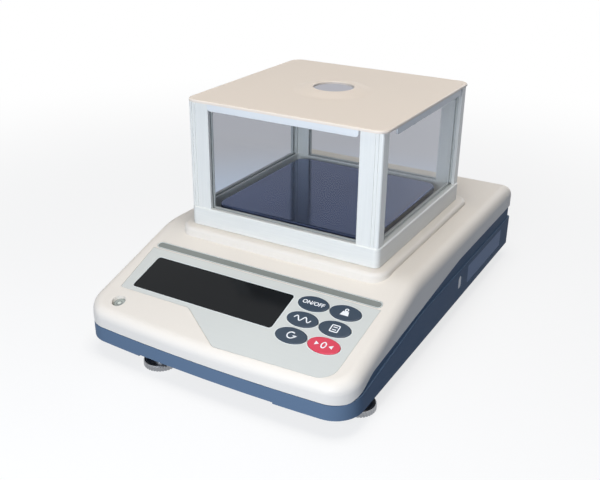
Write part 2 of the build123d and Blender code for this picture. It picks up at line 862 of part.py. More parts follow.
def make_pan():
    """Square pan of polished sheet with a turned-down rim."""
    pan = pad(0, shield_centre_y, pan_height - pan_rim, pan_height, pan_size, pan_size, pan_corner_radius)
    pan = fillet(pan.edges().group_by(Axis.Z)[-1], 1.5 * pan_sheet)
    inner = pan_size - 2 * pan_sheet
    hollow = pad(0, shield_centre_y, pan_height - pan_rim - 1, pan_underside, inner, inner,
                 pan_corner_radius - pan_sheet)
    return pan - hollow


def make_dust_plate():
    """Thin plate on the plinth with a collar round the spindle and a sloping rim."""
    outer = 2 * (frame_half - frame_rail - dust_plate_gap)
    corner = carrier_corner_radius / 2
    plate = pad(0, shield_centre_y, plinth_z, plinth_z + dust_upstand, outer, outer, corner)
    plate = chamfer(plate.edges().group_by(Axis.Z)[-1], dust_rim_edge / 2)
    top = outer - 2 * dust_rim_edge
    bottom = outer - 2 * dust_rim_width
    low_z = plinth_z + dust_plate_thickness
    high_z = plinth_z + dust_upstand + stop_margin
    lower = Pos(0, shield_centre_y, low_z) * RectangleRounded(bottom, bottom, corner)
    upper = Pos(0, shield_centre_y, high_z) * RectangleRounded(top, top, corner)
    plate -= loft([lower, upper])
    collar_top = plinth_z + dust_collar_height
    plate += rod(0, shield_centre_y, plinth_z, collar_top, spindle_hole_radius + dust_collar_wall)
    return plate - rod(0, shield_centre_y, plinth_z - 1, collar_top + 1, spindle_hole_radius)


cushion_reach = carrier_size / 2 - 2 * cushion_radius
save(make_spindle(), "pan_spindle")
save(group(rod(sx * cushion_reach, shield_centre_y + sy * cushion_reach, carrier_top, pan_underside,
               cushion_radius) for sx in (-1, 1) for sy in (-1, 1)), "pan_cushions")
save(make_pan(), "weighing_pan")
save(make_dust_plate(), "dust_plate")


# Draft shield
def make_frame():
    """Square frame with pane grooves along the top of its rails."""
    outer = 2 * frame_half
    inner = outer - 2 * frame_rail
    frame = pad(0, shield_centre_y, frame_bottom, frame_top, outer, outer, frame_corner_radius)
    frame = chamfer(frame.edges().group_by(Axis.Z)[-1], frame_edge)
    frame -= pad(0, shield_centre_y, 0, frame_top + 1, inner, inner, frame_corner_radius / 2)
    frame -= pane_square(pane_outer + pane_clearance) - pane_square(pane_inner - pane_clearance)
    for x, y in post_screw_places:
        frame -= rod(x, y, 0, frame_top + 1, screw_hole)
        frame -= rod(x, y, 0, shield_head_z, screw_head_radius + 2 * screw_clearance)
    return frame


def pane_square(half):
    """Cutter for the pane grooves, a square down to the panes' seat."""
    return block(-half, half, shield_centre_y - half, shield_centre_y + half,
                 frame_top - pane_seat_depth, frame_top + 1)


def make_post(side, end):
    """Angle section with a wide fluted face in front and a narrow one at the side, mirrored to its corner."""
    leg_x = post_outer - post_width
    leg_y = post_outer - post_depth
    inner = post_outer - post_thickness
    section = Polyline((post_outer, post_outer), (post_outer, leg_y), (inner, leg_y), (inner, inner),
                       (leg_x, inner), (leg_x, post_outer), close=True)
    outline = make_face(section)
    corner = outline.vertices().sort_by_distance((post_outer, post_outer))[0]
    outline = fillet([corner], post_corner_radius)
    post = Pos(0, 0, frame_top) * extrude(outline, amount=post_height)
    slot_low = pane_inner - pane_clearance
    slot_high = pane_outer + pane_clearance
    z0 = frame_top - 1
    z1 = post_top + 1
    post -= block(leg_x - 1, leg_x + pane_slot_depth, slot_low, slot_high, z0, z1)
    post -= block(slot_low, slot_high, leg_y - 1, leg_y + pane_slot_depth, z0, z1)
    for place in flute_places:
        post -= block(post_outer - place - flute_width, post_outer - place,
                      post_outer - flute_depth, post_outer + 1, z0, z1)
    hole = post_outer - post_thickness / 2
    post -= rod(hole, hole, z0, frame_top + shield_screw_grip + screw_tip_room, screw_hole)
    if side < 0:
        post = mirror(post, about=Plane.YZ)
    if end < 0:
        post = mirror(post, about=Plane.XZ)
    return Pos(0, shield_centre_y, 0) * post


def make_pane(turn, leg):
    """Clear pane that stands in the frame's groove and in the slots of two posts."""
    half = post_outer - leg + pane_slot_depth - 2 * pane_clearance
    pane = block(-half, half, -pane_outer, -pane_inner, frame_top - pane_seat_depth, post_top)
    pane = chamfer(pane.edges().filter_by(Axis.Z), pane_edge)
    return Pos(0, shield_centre_y, 0) * Rot(0, 0, turn) * pane


def make_lid():
    """Sheet lid with a coned boss round its hole, turned-down lips and locating lugs."""
    lid = pad(0, shield_centre_y, lid_bottom, lid_top, 2 * lid_half, 2 * lid_half, lid_corner_radius)
    lid = fillet(lid.edges().group_by(Axis.Z)[-1], lid_edge_radius)
    for turn in (0, 90, 180, 270):
        lip = block(-lip_half_length, lip_half_length, -lid_half, -lid_half + lip_thickness,
                    lid_bottom - lip_height, lid_bottom + lid_thickness / 2)
        lip = fillet(lip.edges().filter_by(Axis.Y).group_by(Axis.Z)[0], lip_end_radius)
        lid += Pos(0, shield_centre_y, 0) * Rot(0, 0, turn) * lip
    lug_outer = post_outer - post_thickness - seat_gap
    for sx in (-1, 1):
        for sy in (-1, 1):
            lug_x = sx * (lug_outer - lug_size / 2)
            lug_y = shield_centre_y + sy * (lug_outer - lug_size / 2)
            lid += pad(lug_x, lug_y, lid_bottom - lug_height, lid_bottom, lug_size, lug_size, pane_edge)
    lid += Pos(0, shield_centre_y, lid_top) * low_cone(boss_radius, boss_top_radius, boss_height)
    lid -= Pos(0, shield_centre_y, lid_bottom) * low_cone(
        boss_radius - lid_thickness, boss_top_radius - lid_thickness / 4, boss_height)
    return lid - rod(0, shield_centre_y, 0, lid_top + boss_height + 1, lid_hole_radius)


def low_cone(bottom_radius, top_radius, height):
    """Low cone that stands on z = 0."""
    return Pos(0, 0, height / 2) * Cone(bottom_radius, top_radius, height)


post_screw_reach = post_outer - post_thickness / 2
post_screw_places = [
    (sx * post_screw_reach, shield_centre_y + sy * post_screw_reach) for sx in (-1, 1) for sy in (-1, 1)
]
save(make_frame(), "shield_frame")
for side_name, side in (("left", -1), ("right", 1)):
    for end_name, end in (("front", -1), ("rear", 1)):
        save(make_post(side, end), f"shield_post_{end_name}_{side_name}")
for name, turn, leg in (("front", 0, post_width), ("right", 90, post_depth), ("rear", 180, post_width),
                        ("left", 270, post_depth)):
    save(make_pane(turn, leg), f"shield_pane_{name}")
save(group(cap_screw(x, y, shield_head_z, frame_top + shield_screw_grip, case_screw_radius,
                     screw_head_radius, screw_head_height) for x, y in post_screw_places), "shield_screws")
save(make_lid(), "shield_lid")


# Levelling feet: threaded inserts in the case, fluted discs with studs, and rubber pads
def make_foot(x, y):
    """Dished disc with a fluted edge and a stud up into its insert."""
    bottom = pad_thickness - pad_recess
    top = bottom + foot_disc_height
    disc = rod(x, y, bottom, top, foot_radius)
    disc = chamfer(disc.edges().group_by(Axis.Z)[-1], foot_edge)
    flute = Cylinder(foot_flute_radius, 3 * foot_disc_height)
    for place in PolarLocations(foot_radius, foot_flutes):
        disc -= Pos(x, y, bottom) * place * flute
    dish = rod(x, y, top - foot_dish_depth, top + 1, foot_radius - foot_rim_width)
    disc -= dish - rod(x, y, 0, top + 2, foot_hub_radius)
    disc -= rod(x, y, 0, bottom + pad_recess, foot_radius - pad_rim)
    return disc + rod(x, y, bottom + pad_recess, top + stud_length, stud_radius)


def make_insert(x, y):
    """Brass insert that the stud turns in."""
    sleeve = rod(x, y, floor_bottom, floor_bottom + insert_height, insert_radius - insert_clearance)
    return sleeve - rod(x, y, 0, floor_bottom + insert_height + 1, stud_radius + stud_clearance)


save(group(make_insert(x, y) for x, y in foot_places.values()), "foot_inserts")
for name, (x, y) in foot_places.items():
    save(make_foot(x, y), f"foot_{name}")
    save(rod(x, y, 0, pad_thickness, foot_radius - pad_rim - stop_margin), f"foot_pad_{name}")


# Electronics and connectors at the back
def make_main_board():
    """Board on four low pillars behind the sensor."""
    board = block(-main_board_half, main_board_half, main_board_front, main_board_back, main_board_bottom,
                  main_board_top)
    for x, y in main_board_screws:
        board -= rod(x, y, 0, main_board_top + 1, screw_hole)
    return board


def make_jack():
    """Low-voltage inlet: a body on the board and a round socket with a centre pin."""
    half = jack_width / 2
    nose_end = bay_floor_y + jack_nose_length
    body_top = connector_height + jack_shoulder
    jack = block(jack_x - half, jack_x + half, bay_wall_y - jack_depth, bay_wall_y, main_board_top, body_top)
    jack += bar_along_y(jack_x, connector_height, bay_wall_y, nose_end, jack_nose_radius)
    bore_start = bay_wall_y - jack_bore_depth
    pin_end = nose_end - jack_pin_drop
    jack -= bar_along_y(jack_x, connector_height, bore_start, nose_end + 1, jack_bore_radius)
    return jack + bar_along_y(jack_x, connector_height, bore_start - 1, pin_end, jack_pin_radius)


def serial_prism(margin, y0, y1):
    """Trapezoid with round corners, the face of the serial port with a margin round it, as a prism."""
    outline = Trapezoid(serial_width + 2 * margin, serial_height + 2 * margin, 80, rotation=180)
    outline = fillet(outline.vertices(), serial_corner_radius)
    return extrude(facing_back(serial_x, y0) * outline, amount=y1 - y0)


def facing_back(x, y):
    """A plane that faces the back, at the connectors' height."""
    return Plane(origin=(x, y, connector_height), x_dir=(-1, 0, 0), z_dir=(0, 1, 0))


def make_serial():
    """Metal flange and shell in the wall, and the insert with its contact holes."""
    flange_face = RectangleRounded(serial_flange_width, serial_flange_height, serial_corner_radius)
    flange = extrude(facing_back(serial_x, bay_floor_y) * flange_face, amount=serial_flange_thickness)
    shell_start = bay_wall_y - serial_tail
    shell_end = bay_floor_y + serial_reach
    metal = flange + serial_prism(0, shell_start, shell_end)
    metal -= serial_prism(-serial_sheet, shell_start - 1, shell_end + 1)
    insert_end = shell_end - serial_insert_drop
    insert = serial_prism(-serial_sheet - serial_insert_gap, shell_start, insert_end)
    for row, count in ((contact_row, 5), (-contact_row, 4)):
        for index in range(count):
            x = serial_x + (index - (count - 1) / 2) * contact_pitch
            insert -= bar_along_y(x, connector_height + row, insert_end - contact_depth, insert_end + 1,
                                  contact_radius)
    for side in (-1, 1):
        x = serial_x + side * jackscrew_reach
        metal -= bar_along_y(x, connector_height, bay_wall_y, back_y, screw_hole)
    return metal, insert


def make_jackscrew(side):
    """Hexagon standoff that a plug's screw turns into."""
    x = serial_x + side * jackscrew_reach
    start = bay_floor_y + serial_flange_thickness
    head = extrude(facing_back(x, start) * RegularPolygon(jackscrew_radius, 6), amount=jackscrew_length)
    return head - bar_along_y(x, connector_height, start + 1, back_y, jackscrew_bore)


def make_ground():
    """Earth screw with its knurled nut."""
    head_start = bay_wall_y - ground_head_height
    stud_end = bay_floor_y + ground_stud_reach
    stud = bar_along_y(ground_x, connector_height, head_start, stud_end, ground_stud_radius)
    stud += bar_along_y(ground_x, connector_height, head_start, bay_wall_y, ground_head_radius)
    nut_end = bay_floor_y + ground_nut_length
    nut = bar_along_y(ground_x, connector_height, bay_floor_y, nut_end, ground_nut_radius)
    for place in PolarLocations(ground_nut_radius, ground_nut_flutes):
        flute = Pos(ground_x, bay_floor_y, connector_height) * Rot(90, 0, 0) * place
        nut -= flute * Cylinder(ground_flute_radius, 3 * ground_nut_length)
    return stud + nut


save(make_main_board(), "main_board")
save(make_jack(), "power_jack")
serial_port, serial_insert = make_serial()
save(serial_port, "serial_port")
save(serial_insert, "serial_insert")
save(group(make_jackscrew(side) for side in (-1, 1)), "port_jackscrews")
save(make_ground(), "ground_terminal")


# Fasteners and small trim
def make_board_screws():
    """Four screws down through the main board and four up into the cover's bosses."""
    screws = [cap_screw(x, y, main_board_top, floor_bottom + 1 + stop_margin, case_screw_radius,
                        screw_head_radius, flat_head_height) for x, y in main_board_screws]
    under = -panel_board_depth - board_thickness
    tip = -panel_board_depth + board_screw_grip
    for x, s in panel_board_screws:
        screws.append(on_panel(cap_screw(x, s, under, tip, case_screw_radius, screw_head_radius,
                                         flat_head_height)))
    return group(screws)


def make_hook_cover():
    """Small plate under the case that swings aside from the hook's hole."""
    top = floor_bottom - seat_gap
    bottom = top - hook_cover_thickness
    ear = hook_cover_ear
    cover = rod(0, shield_centre_y, bottom, top, hook_cover_radius)
    cover += rod(hook_pivot_offset, shield_centre_y, bottom, top, ear)
    cover += block(0, hook_pivot_offset, shield_centre_y - ear, shield_centre_y + ear, bottom, top)
    pivot_hole = case_screw_radius + hook_cover_clearance
    return cover - rod(hook_pivot_offset, shield_centre_y, 0, top + 1, pivot_hole)


save(make_board_screws(), "board_screws")
save(group(cap_screw(x, y, case_head_z, boss_split_z + case_screw_grip, case_screw_radius,
                     screw_head_radius, screw_head_height) for x, y in case_screw_places), "case_screws")
save(make_hook_cover(), "hook_cover")
save(cap_screw(hook_pivot_offset, shield_centre_y, floor_bottom - 2 * seat_gap - hook_cover_thickness,
               floor_top, case_screw_radius, screw_head_radius, hook_screw_head_height), "hook_cover_screw")
save(block(side_x - label_thickness - label_sink, side_x - label_sink, label_middle_y - label_length / 2,
           label_middle_y + label_length / 2, label_bottom, label_bottom + label_height), "side_label")
save(side_slot(plug_depth, 0) - block(side_x - plug_sink, side_x + 1, 0, back_y, 0, deck_z), "side_slot_plug")
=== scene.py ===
# %% [markdown]
# # A laboratory balance with a glass draft shield
# The packed model already holds every solid piece of the balance at its real size. This lesson dresses it:
# it gives each piece a finish, and adds the small printed and polished things that are too thin for the
# solid model. Everything is in metres, Z is up, and the key panel looks towards -Y.

import math

import bmesh
import bpy
import numpy as np
from mathutils import Matrix, Vector


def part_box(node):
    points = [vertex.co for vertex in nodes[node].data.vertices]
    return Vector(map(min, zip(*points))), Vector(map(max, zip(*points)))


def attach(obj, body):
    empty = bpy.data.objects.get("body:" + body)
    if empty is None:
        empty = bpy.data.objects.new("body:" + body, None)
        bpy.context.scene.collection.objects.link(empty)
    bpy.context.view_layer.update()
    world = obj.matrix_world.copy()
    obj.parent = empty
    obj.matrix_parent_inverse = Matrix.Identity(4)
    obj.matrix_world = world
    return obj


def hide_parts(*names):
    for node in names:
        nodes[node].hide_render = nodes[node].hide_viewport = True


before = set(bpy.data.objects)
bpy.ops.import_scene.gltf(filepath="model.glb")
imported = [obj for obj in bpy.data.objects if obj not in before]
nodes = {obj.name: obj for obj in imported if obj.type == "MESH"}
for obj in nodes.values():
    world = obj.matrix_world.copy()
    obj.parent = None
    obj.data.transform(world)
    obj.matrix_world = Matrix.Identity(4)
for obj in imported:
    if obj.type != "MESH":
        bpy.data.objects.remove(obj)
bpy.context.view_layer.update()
mm = 0.001

# %% [markdown]
# The photograph was taken from the front right and above, from about two thirds of a metre. The camera's
# place, its two angles, its slight roll and its lens were worked out from the corners of the shield, the
# window and the case, so the render can be laid over the photograph.

# %% Camera
camera_place = Vector((0.27424, -0.51278, 0.31621))
camera_azimuth = math.radians(29.71)
camera_elevation = math.radians(24.48)
camera_roll = math.radians(0.67)
sensor_width = 36.0
lens_length = 48.98

backwards = Vector((
    math.sin(camera_azimuth) * math.cos(camera_elevation),
    -math.cos(camera_azimuth) * math.cos(camera_elevation),
    math.sin(camera_elevation),
))
level_right = (-backwards).cross(Vector((0, 0, 1))).normalized()
level_up = backwards.cross(level_right)
camera_right = math.cos(camera_roll) * level_right + math.sin(camera_roll) * level_up
camera_up = backwards.cross(camera_right)

camera_data = bpy.data.cameras.new("photo_camera")
camera_data.sensor_width = sensor_width
camera_data.lens = lens_length
camera_data.clip_start = 0.01
camera_data.clip_end = 20.0
camera = bpy.data.objects.new("photo_camera", camera_data)
bpy.context.scene.collection.objects.link(camera)
turn = Matrix((camera_right, camera_up, backwards)).transposed().to_4x4()
camera.matrix_world = Matrix.Translation(camera_place) @ turn
bpy.context.scene.camera = camera
bpy.context.scene.view_settings.view_transform = "Standard"
print("camera looks along", tuple(round(v, 3) for v in -backwards))

# %% [markdown]
# ## Shader sums as Python
# A finish is a small network of nodes. Writing it with one node call a line is long and hard to read, so a
# wire, which is the output socket of a node, gets Python's operators: a sum of wires adds Math nodes. One
# method adds every other kind of node, with its settings first and its sockets after them.

# %% A wire with arithmetic


class Wire:
    """A node's output in one material. With no socket it is only a place to add nodes from."""

    def __init__(self, tree, socket=None):
        self.tree = tree
        self.socket = socket

    def add(self, kind, settings=(), inputs=(), output=0):
        """Add a node: its settings first, then its sockets' values or wires. Gives one output as a wire."""
        made = self.tree.nodes.new(kind)
        for name, value in dict(settings).items():
            if name == "stops":
                ramp = made.color_ramp.elements
                ramp[0].position, ramp[0].color = value[0]
                ramp[1].position, ramp[1].color = value[-1]
                for place, color in value[1:-1]:
                    ramp.new(place).color = color
            else:
                setattr(made, name, value)
        for name, value in dict(inputs).items():
            if isinstance(value, Wire):
                self.tree.links.new(value.socket, made.inputs[name])
            else:
                made.inputs[name].default_value = value
        return Wire(self.tree, made.outputs[output] if len(made.outputs) else None)

    def math(self, operation, first, second=0.0, clamp=False):
        settings = {"operation": operation, "use_clamp": clamp}
        return self.add("ShaderNodeMath", settings, {0: first, 1: second})

    def mix(self, share, first, second):
        """Between two colours, by a share."""
        return self.add("ShaderNodeMix", {"data_type": "RGBA"}, {0: share, 6: first, 7: second}, output=2)

    def __add__(self, other):
        return self.math("ADD", self, other)

    def __radd__(self, other):
        return self.math("ADD", other, self)

    def __rsub__(self, other):
        return self.math("SUBTRACT", other, self)

    def __mul__(self, other):
        return self.math("MULTIPLY", self, other)

    def noise(self, scale, detail=2.0, stretch=(1, 1, 1)):
        """Noise on the piece's own coordinates, from 0 to 1. Scale is in waves a metre, before the stretch."""
        place = self.add("ShaderNodeTexCoord", output=3)
        drawn = self.add("ShaderNodeMapping", {"vector_type": "POINT"}, {"Vector": place, "Scale": stretch})
        return self.add("ShaderNodeTexNoise", {}, {"Vector": drawn, "Scale": scale, "Detail": detail})

    def bump(self, height, depth):
        """A surface normal from a height between 0 and 1, that many metres deep."""
        return self.add("ShaderNodeBump", {}, {"Strength": 1.0, "Distance": depth, "Height": height})


def shade(color, share):
    """A colour made lighter or darker by a share, as four numbers."""
    return (*[min(1.0, part * share) for part in color[:3]], 1.0)


def start_material(name):
    """An empty node material, as a wire to add nodes from."""
    material = bpy.data.materials.new(name)
    material.use_nodes = True
    material.node_tree.nodes.clear()
    return material, Wire(material.node_tree)


def close_material(bench, shader):
    """Lead the last shader to the material's output."""
    bench.add("ShaderNodeOutputMaterial", {}, {"Surface": shader})


print("a wire adds nodes by", [name for name in vars(Wire) if name.strip("_") in ("add", "radd", "rsub", "mul")])

# %% [markdown]
# ## Background and light
# The balance stands on a plain white sheet that runs out of sight. The camera, and whatever the glass and
# the polished pieces mirror, see it white: close by it keeps a soft shadow, further out it fades into plain
# white. Through a pane both show grey-blue, as the photographed panes do: that grey-blue is a painted
# reflection of the panes, bluer near the balance and greyer further out. What they throw back as stray light
# is a cool grey, because the right side of the real balance is in blue shade. Three lamps do the work: a warm
# one almost overhead, a cool one in front, and a weak one behind that keeps the back readable.

# %% Floor and world
floor_half = 6.0
floor_white = (0.97, 0.97, 0.97, 1)
floor_stray = (0.074, 0.120, 0.205, 1)
world_stray = (0.056, 0.084, 0.136, 1)
plain_share_near = 0.74
# Painted reflection: the floor and sky show these grey-blue colours only through a pane, bluer near and greyer far.
painted_reflection_near = (0.565, 0.675, 0.865, 1)
painted_reflection_far = (0.53, 0.52, 0.56, 1)
glass_grey_from = 0.19
glass_grey_to = 0.42
plain_from = 0.20
plain_to = 0.80


def seen_share(bench):
    """1 for rays from the camera, off gloss and through glass, 0 for stray light."""
    rays = bench.add("ShaderNodeLightPath")
    sockets = rays.socket.node.outputs
    seen = [Wire(bench.tree, sockets[name]) for name in ("Is Camera Ray", "Is Glossy Ray", "Is Transmission Ray")]
    return bench.math("ADD", seen[0] + seen[1], seen[2], clamp=True)


def shown_color(bench, painted_reflection_tone):
    """White in the open, and a painted reflection colour for a ray that went through a pane."""
    rays = bench.add("ShaderNodeLightPath")
    depth = Wire(bench.tree, rays.socket.node.outputs["Transparent Depth"])
    return bench.mix(bench.math("GREATER_THAN", depth, 0.5), (1, 1, 1, 1), painted_reflection_tone)


floor_material, bench = start_material("floor_sheet")
seen = seen_share(bench)
place = bench.add("ShaderNodeTexCoord", output=3)
distance = bench.add("ShaderNodeVectorMath", {"operation": "LENGTH"}, {0: place}, output=1)
far = bench.add("ShaderNodeMapRange", {"interpolation_type": "SMOOTHSTEP"}, {
    "Value": distance, "From Min": plain_from, "From Max": plain_to})
faded = plain_share_near + far * (1 - plain_share_near)
greyer = bench.add("ShaderNodeMapRange", {"interpolation_type": "SMOOTHSTEP"}, {
    "Value": distance, "From Min": glass_grey_from, "From Max": glass_grey_to})
# Painted reflection: the colour shown through a pane, from grey-blue close by to grey further out.
painted_reflection_tone = bench.mix(greyer, painted_reflection_near, painted_reflection_far)
sheet = bench.add("ShaderNodeBsdfDiffuse", {}, {"Color": bench.mix(seen, floor_stray, floor_white)})
plain = bench.add("ShaderNodeEmission", {}, {"Color": shown_color(bench, painted_reflection_tone), "Strength": 1.0})
close_material(bench, bench.add("ShaderNodeMixShader", {}, {0: seen * faded, 1: sheet, 2: plain}))

floor_mesh = bpy.data.meshes.new("floor")
floor_corners = floor_half * np.array([(-1, -1, 0), (1, -1, 0), (1, 1, 0), (-1, 1, 0)])
floor_mesh.from_pydata(floor_corners.tolist(), [], [(0, 1, 2, 3)])
floor_mesh.materials.append(floor_material)
floor = bpy.data.objects.new("floor", floor_mesh)
bpy.context.scene.collection.objects.link(floor)

world = bpy.data.worlds.new("studio")
world.use_nodes = True
world.node_tree.nodes.clear()
bench = Wire(world.node_tree)
sky = bench.mix(seen_share(bench), world_stray, shown_color(bench, painted_reflection_far))
glow = bench.add("ShaderNodeBackground", {}, {"Color": sky, "Strength": 1.0})
bench.add("ShaderNodeOutputWorld", {}, {"Surface": glow})
bpy.context.scene.world = world
print("floor", 2 * floor_half, "m square, world", world.name)

# %% Lamps
shield_middle = Vector((0.0, 0.015, 0.08))


def lamp(name, direction, distance, size, level, color):
    """A square lamp that looks at the balance. Level is how bright white paper that faces it becomes."""
    data = bpy.data.lights.new(name, "AREA")
    data.shape = "SQUARE"
    data.size = size
    data.color = color
    data.energy = level * (math.pi * distance) ** 2
    made = bpy.data.objects.new(name, data)
    away = Vector(direction).normalized()
    turn = away.to_track_quat("Z", "Y").to_matrix().to_4x4()
    made.matrix_world = Matrix.Translation(shield_middle + distance * away) @ turn
    bpy.context.scene.collection.objects.link(made)
    return made


lamps = [
    lamp("lamp_overhead", (0.10, -0.14, 0.97), 1.2, 0.60, 0.56, (1.0, 0.94, 0.85)),
    lamp("lamp_front", (0.15, -0.96, 0.22), 0.78, 0.40, 0.74, (0.93, 1.0, 1.10)),
    lamp("lamp_behind", (0.10, 0.96, 0.25), 1.6, 0.80, 0.22, (0.97, 0.98, 1.0)),
]
print(len(lamps), "lamps of", [round(made.data.energy, 1) for made in lamps], "watts")

# %% [markdown]
# ## Moulded plastic
# Moulded plastic is never one flat colour: the melt leaves a faint cloudiness, the mould's spark-eroded skin
# leaves a grain that is finer than a hair, and handling polishes it unevenly. One function makes all of it
# from slow noise in the colour, quicker noise in the roughness and a very fine bump.

# %% Plastic finishes


def moulded(name, color, roughness, grain=1800.0, grain_depth=0.00003, cloud=0.03, specular=0.5):
    """Plastic: colour clouded by a share, roughness that wanders, and a skin of fine grain."""
    material, bench = start_material(name)
    clouds = bench.noise(14.0, 3.0)
    specks = bench.noise(420.0, 2.0)
    tint = bench.mix(clouds, shade(color, 1 - cloud), shade(color, 1 + cloud))
    tint = bench.mix(specks * 0.25, tint, shade(color, 1 - 2 * cloud))
    rubbed = bench.noise(55.0, 4.0)
    skin = bench.noise(grain, 2.0)
    close_material(bench, bench.add("ShaderNodeBsdfPrincipled", {}, {
        "Base Color": tint,
        "Roughness": roughness * 0.85 + rubbed * (roughness * 0.3),
        "Specular IOR Level": specular,
        "Normal": bench.bump(skin, grain_depth),
    }))
    return material


finishes = {
    "cover": moulded("cover_cream", (0.80, 0.74, 0.66), 0.36, grain_depth=0.000008, specular=0.16),
    "case": moulded("case_slate_blue", (0.122, 0.177, 0.256), 0.42, grain=1500.0, grain_depth=0.00003, specular=0.01),
    "key": moulded("key_slate", (0.026, 0.047, 0.075), 0.34, grain_depth=0.00001),
    "zero_key": moulded("key_red", (0.66, 0.045, 0.085), 0.34, grain_depth=0.00001),
    "pale": moulded("pale_plastic", (0.74, 0.73, 0.72), 0.35),
    "cup": moulded("cup_grey_green", (0.33, 0.35, 0.32), 0.35),
    "bubble": moulded("bubble_pale", (0.62, 0.66, 0.60), 0.15),
    "black": moulded("black_plastic", (0.018, 0.018, 0.020), 0.45),
    "white_print": moulded("white_print", (0.86, 0.87, 0.88), 0.5, grain=2500.0, grain_depth=0.000005),
}
print("plastics:", sorted(finishes))

# %% [markdown]
# ## Printed film
# The key panel, the strip above it and the label on the side are printed films. Print is a fine screen of
# ink, so its colour has a faint regular dot in it, and the film has a soft embossed skin.

# %% Film finishes


def printed(name, color, roughness, screen=900.0, specular=0.3):
    """Film: ink with a screen of dots, a slow wander in tone, and an embossed skin."""
    material, bench = start_material(name)
    place = bench.add("ShaderNodeTexCoord", output=3)
    dots = bench.add("ShaderNodeTexVoronoi", {"feature": "F1"}, {"Vector": place, "Scale": screen, "Randomness": 0.15})
    tone = bench.noise(20.0, 3.0)
    ink = bench.mix(tone, shade(color, 0.97), shade(color, 1.03))
    ink = bench.mix(dots * 0.12, ink, shade(color, 0.8))
    skin = bench.noise(1300.0, 2.0)
    close_material(bench, bench.add("ShaderNodeBsdfPrincipled", {}, {
        "Base Color": ink,
        "Roughness": roughness * 0.9 + tone * (roughness * 0.2),
        "Specular IOR Level": specular,
        "Normal": bench.bump(skin, 0.00001),
    }))
    return material


finishes["overlay"] = printed("overlay_grey_green", (0.63, 0.64, 0.605), 0.32)
finishes["strip"] = printed("strip_grey_green", (0.225, 0.24, 0.22), 0.30)
finishes["label"] = printed("label_blue_grey", (0.25, 0.33, 0.47), 0.40, specular=0.02)
finishes["outline"] = printed("outline_pale", (0.72, 0.75, 0.73), 0.35)
print("films:", [name for name in finishes if name in ("overlay", "strip", "label", "outline")])

# %% [markdown]
# ## Dark lens and clear panes
# The display is off, so its lens is a nearly black gloss with the odd wiped smear, which is only a change
# of roughness. The panes are real glass a step greyer and bluer than window glass. They are made as a thin
# film would be: a tinted see-through share, and a mirror share that grows towards a glancing look. That
# lets the lamps through cleanly, and it leaves no dark caustics inside the shield.

# %% Lens and glass
mirror_glancing = 0.45
mirror_straight = 0.005
dust_share = 0.005


def lens(name, color):
    """Black gloss with smears in its roughness only."""
    material, bench = start_material(name)
    smears = bench.noise(30.0, 5.0, stretch=(1, 3, 1))
    depth = bench.noise(9.0, 2.0)
    close_material(bench, bench.add("ShaderNodeBsdfPrincipled", {}, {
        "Base Color": bench.mix(depth, shade(color, 0.8), shade(color, 1.3)),
        "Roughness": 0.05 + smears * 0.09,
        "Specular IOR Level": 0.12,
    }))
    return material


def pane(name, clear, dirt):
    """Thin glass: see-through by a tint, and a mirror share that grows with the fifth power of the slant. Lamps
    and stray light go through it untinted, so that the chamber inside is bright."""
    material, bench = start_material(name)
    through = bench.add("ShaderNodeBsdfTransparent", {}, {"Color": clear})
    dust = bench.noise(26.0, 4.0)
    face = bench.add("ShaderNodeBsdfPrincipled", {}, {
        "Base Color": bench.mix(dust, shade(dirt, 0.9), shade(dirt, 1.1)),
        "Metallic": 1.0,
        "Roughness": 0.02 + dust * 0.03,
    })
    slant = bench.add("ShaderNodeLayerWeight", {}, {"Blend": 0.5}, output=1)
    mirror = bench.math("POWER", slant, 5.0) * mirror_glancing + mirror_straight
    rays = bench.add("ShaderNodeLightPath").socket.node.outputs
    shadow_ray, stray_ray = [Wire(bench.tree, rays[kind]) for kind in ("Is Shadow Ray", "Is Diffuse Ray")]
    lit = bench.math("ADD", shadow_ray, stray_ray, clamp=True)
    share = bench.math("ADD", mirror, dust * dust_share, clamp=True) * (1.0 - lit)
    close_material(bench, bench.add("ShaderNodeMixShader", {}, {0: share, 1: through, 2: face}))
    return material


finishes["lens"] = lens("window_black", (0.010, 0.011, 0.012))
finishes["glass"] = pane("shield_glass", (0.925, 0.935, 0.94, 1), (0.92, 0.95, 1.0))
finishes["vial"] = moulded("level_vial", (0.36, 0.39, 0.36), 0.08, specular=0.6)
print("glass:", finishes["glass"].name, "and", finishes["lens"].name)

# %% [markdown]
# ## Metals and enamel
# The shield is drawn aluminium with a satin skin: fine lines run along each bar, so the noise is stretched
# along Z on posts. The pan is polished steel and mirrors dark: its dark navy colour is a painted reflection
# of dim blue surroundings. The lid is steel sheet with a smooth ivory enamel, whose skin has the slow waves
# that painters call orange peel. Feet are turned, so their lines run round their own centre.

# %% Metal finishes


def drawn_metal(name, color, roughness, stretch, metallic=1.0, depth=0.000004):
    """Metal or metal paint with fine lines: noise stretched along the way it was drawn."""
    material, bench = start_material(name)
    lines = bench.noise(900.0, 3.0, stretch=stretch)
    wear = bench.noise(22.0, 4.0)
    close_material(bench, bench.add("ShaderNodeBsdfPrincipled", {}, {
        "Base Color": bench.mix(lines, shade(color, 0.94), shade(color, 1.05)),
        "Metallic": metallic,
        "Roughness": roughness * 0.8 + wear * (roughness * 0.4),
        "Normal": bench.bump(lines, depth),
    }))
    return material


def mirror_steel(name, color, roughness):
    """Polished sheet: a dark mirror with slow clouds in its tone and faint wiping marks in its gloss."""
    material, bench = start_material(name)
    clouds = bench.noise(16.0, 3.0)
    wiped = bench.noise(70.0, 3.0, stretch=(0.25, 1, 1))
    close_material(bench, bench.add("ShaderNodeBsdfPrincipled", {}, {
        "Base Color": bench.mix(clouds, shade(color, 0.8), shade(color, 1.2)),
        "Metallic": 1.0,
        "Roughness": roughness * 0.7 + wiped * (roughness * 0.6),
    }))
    return material


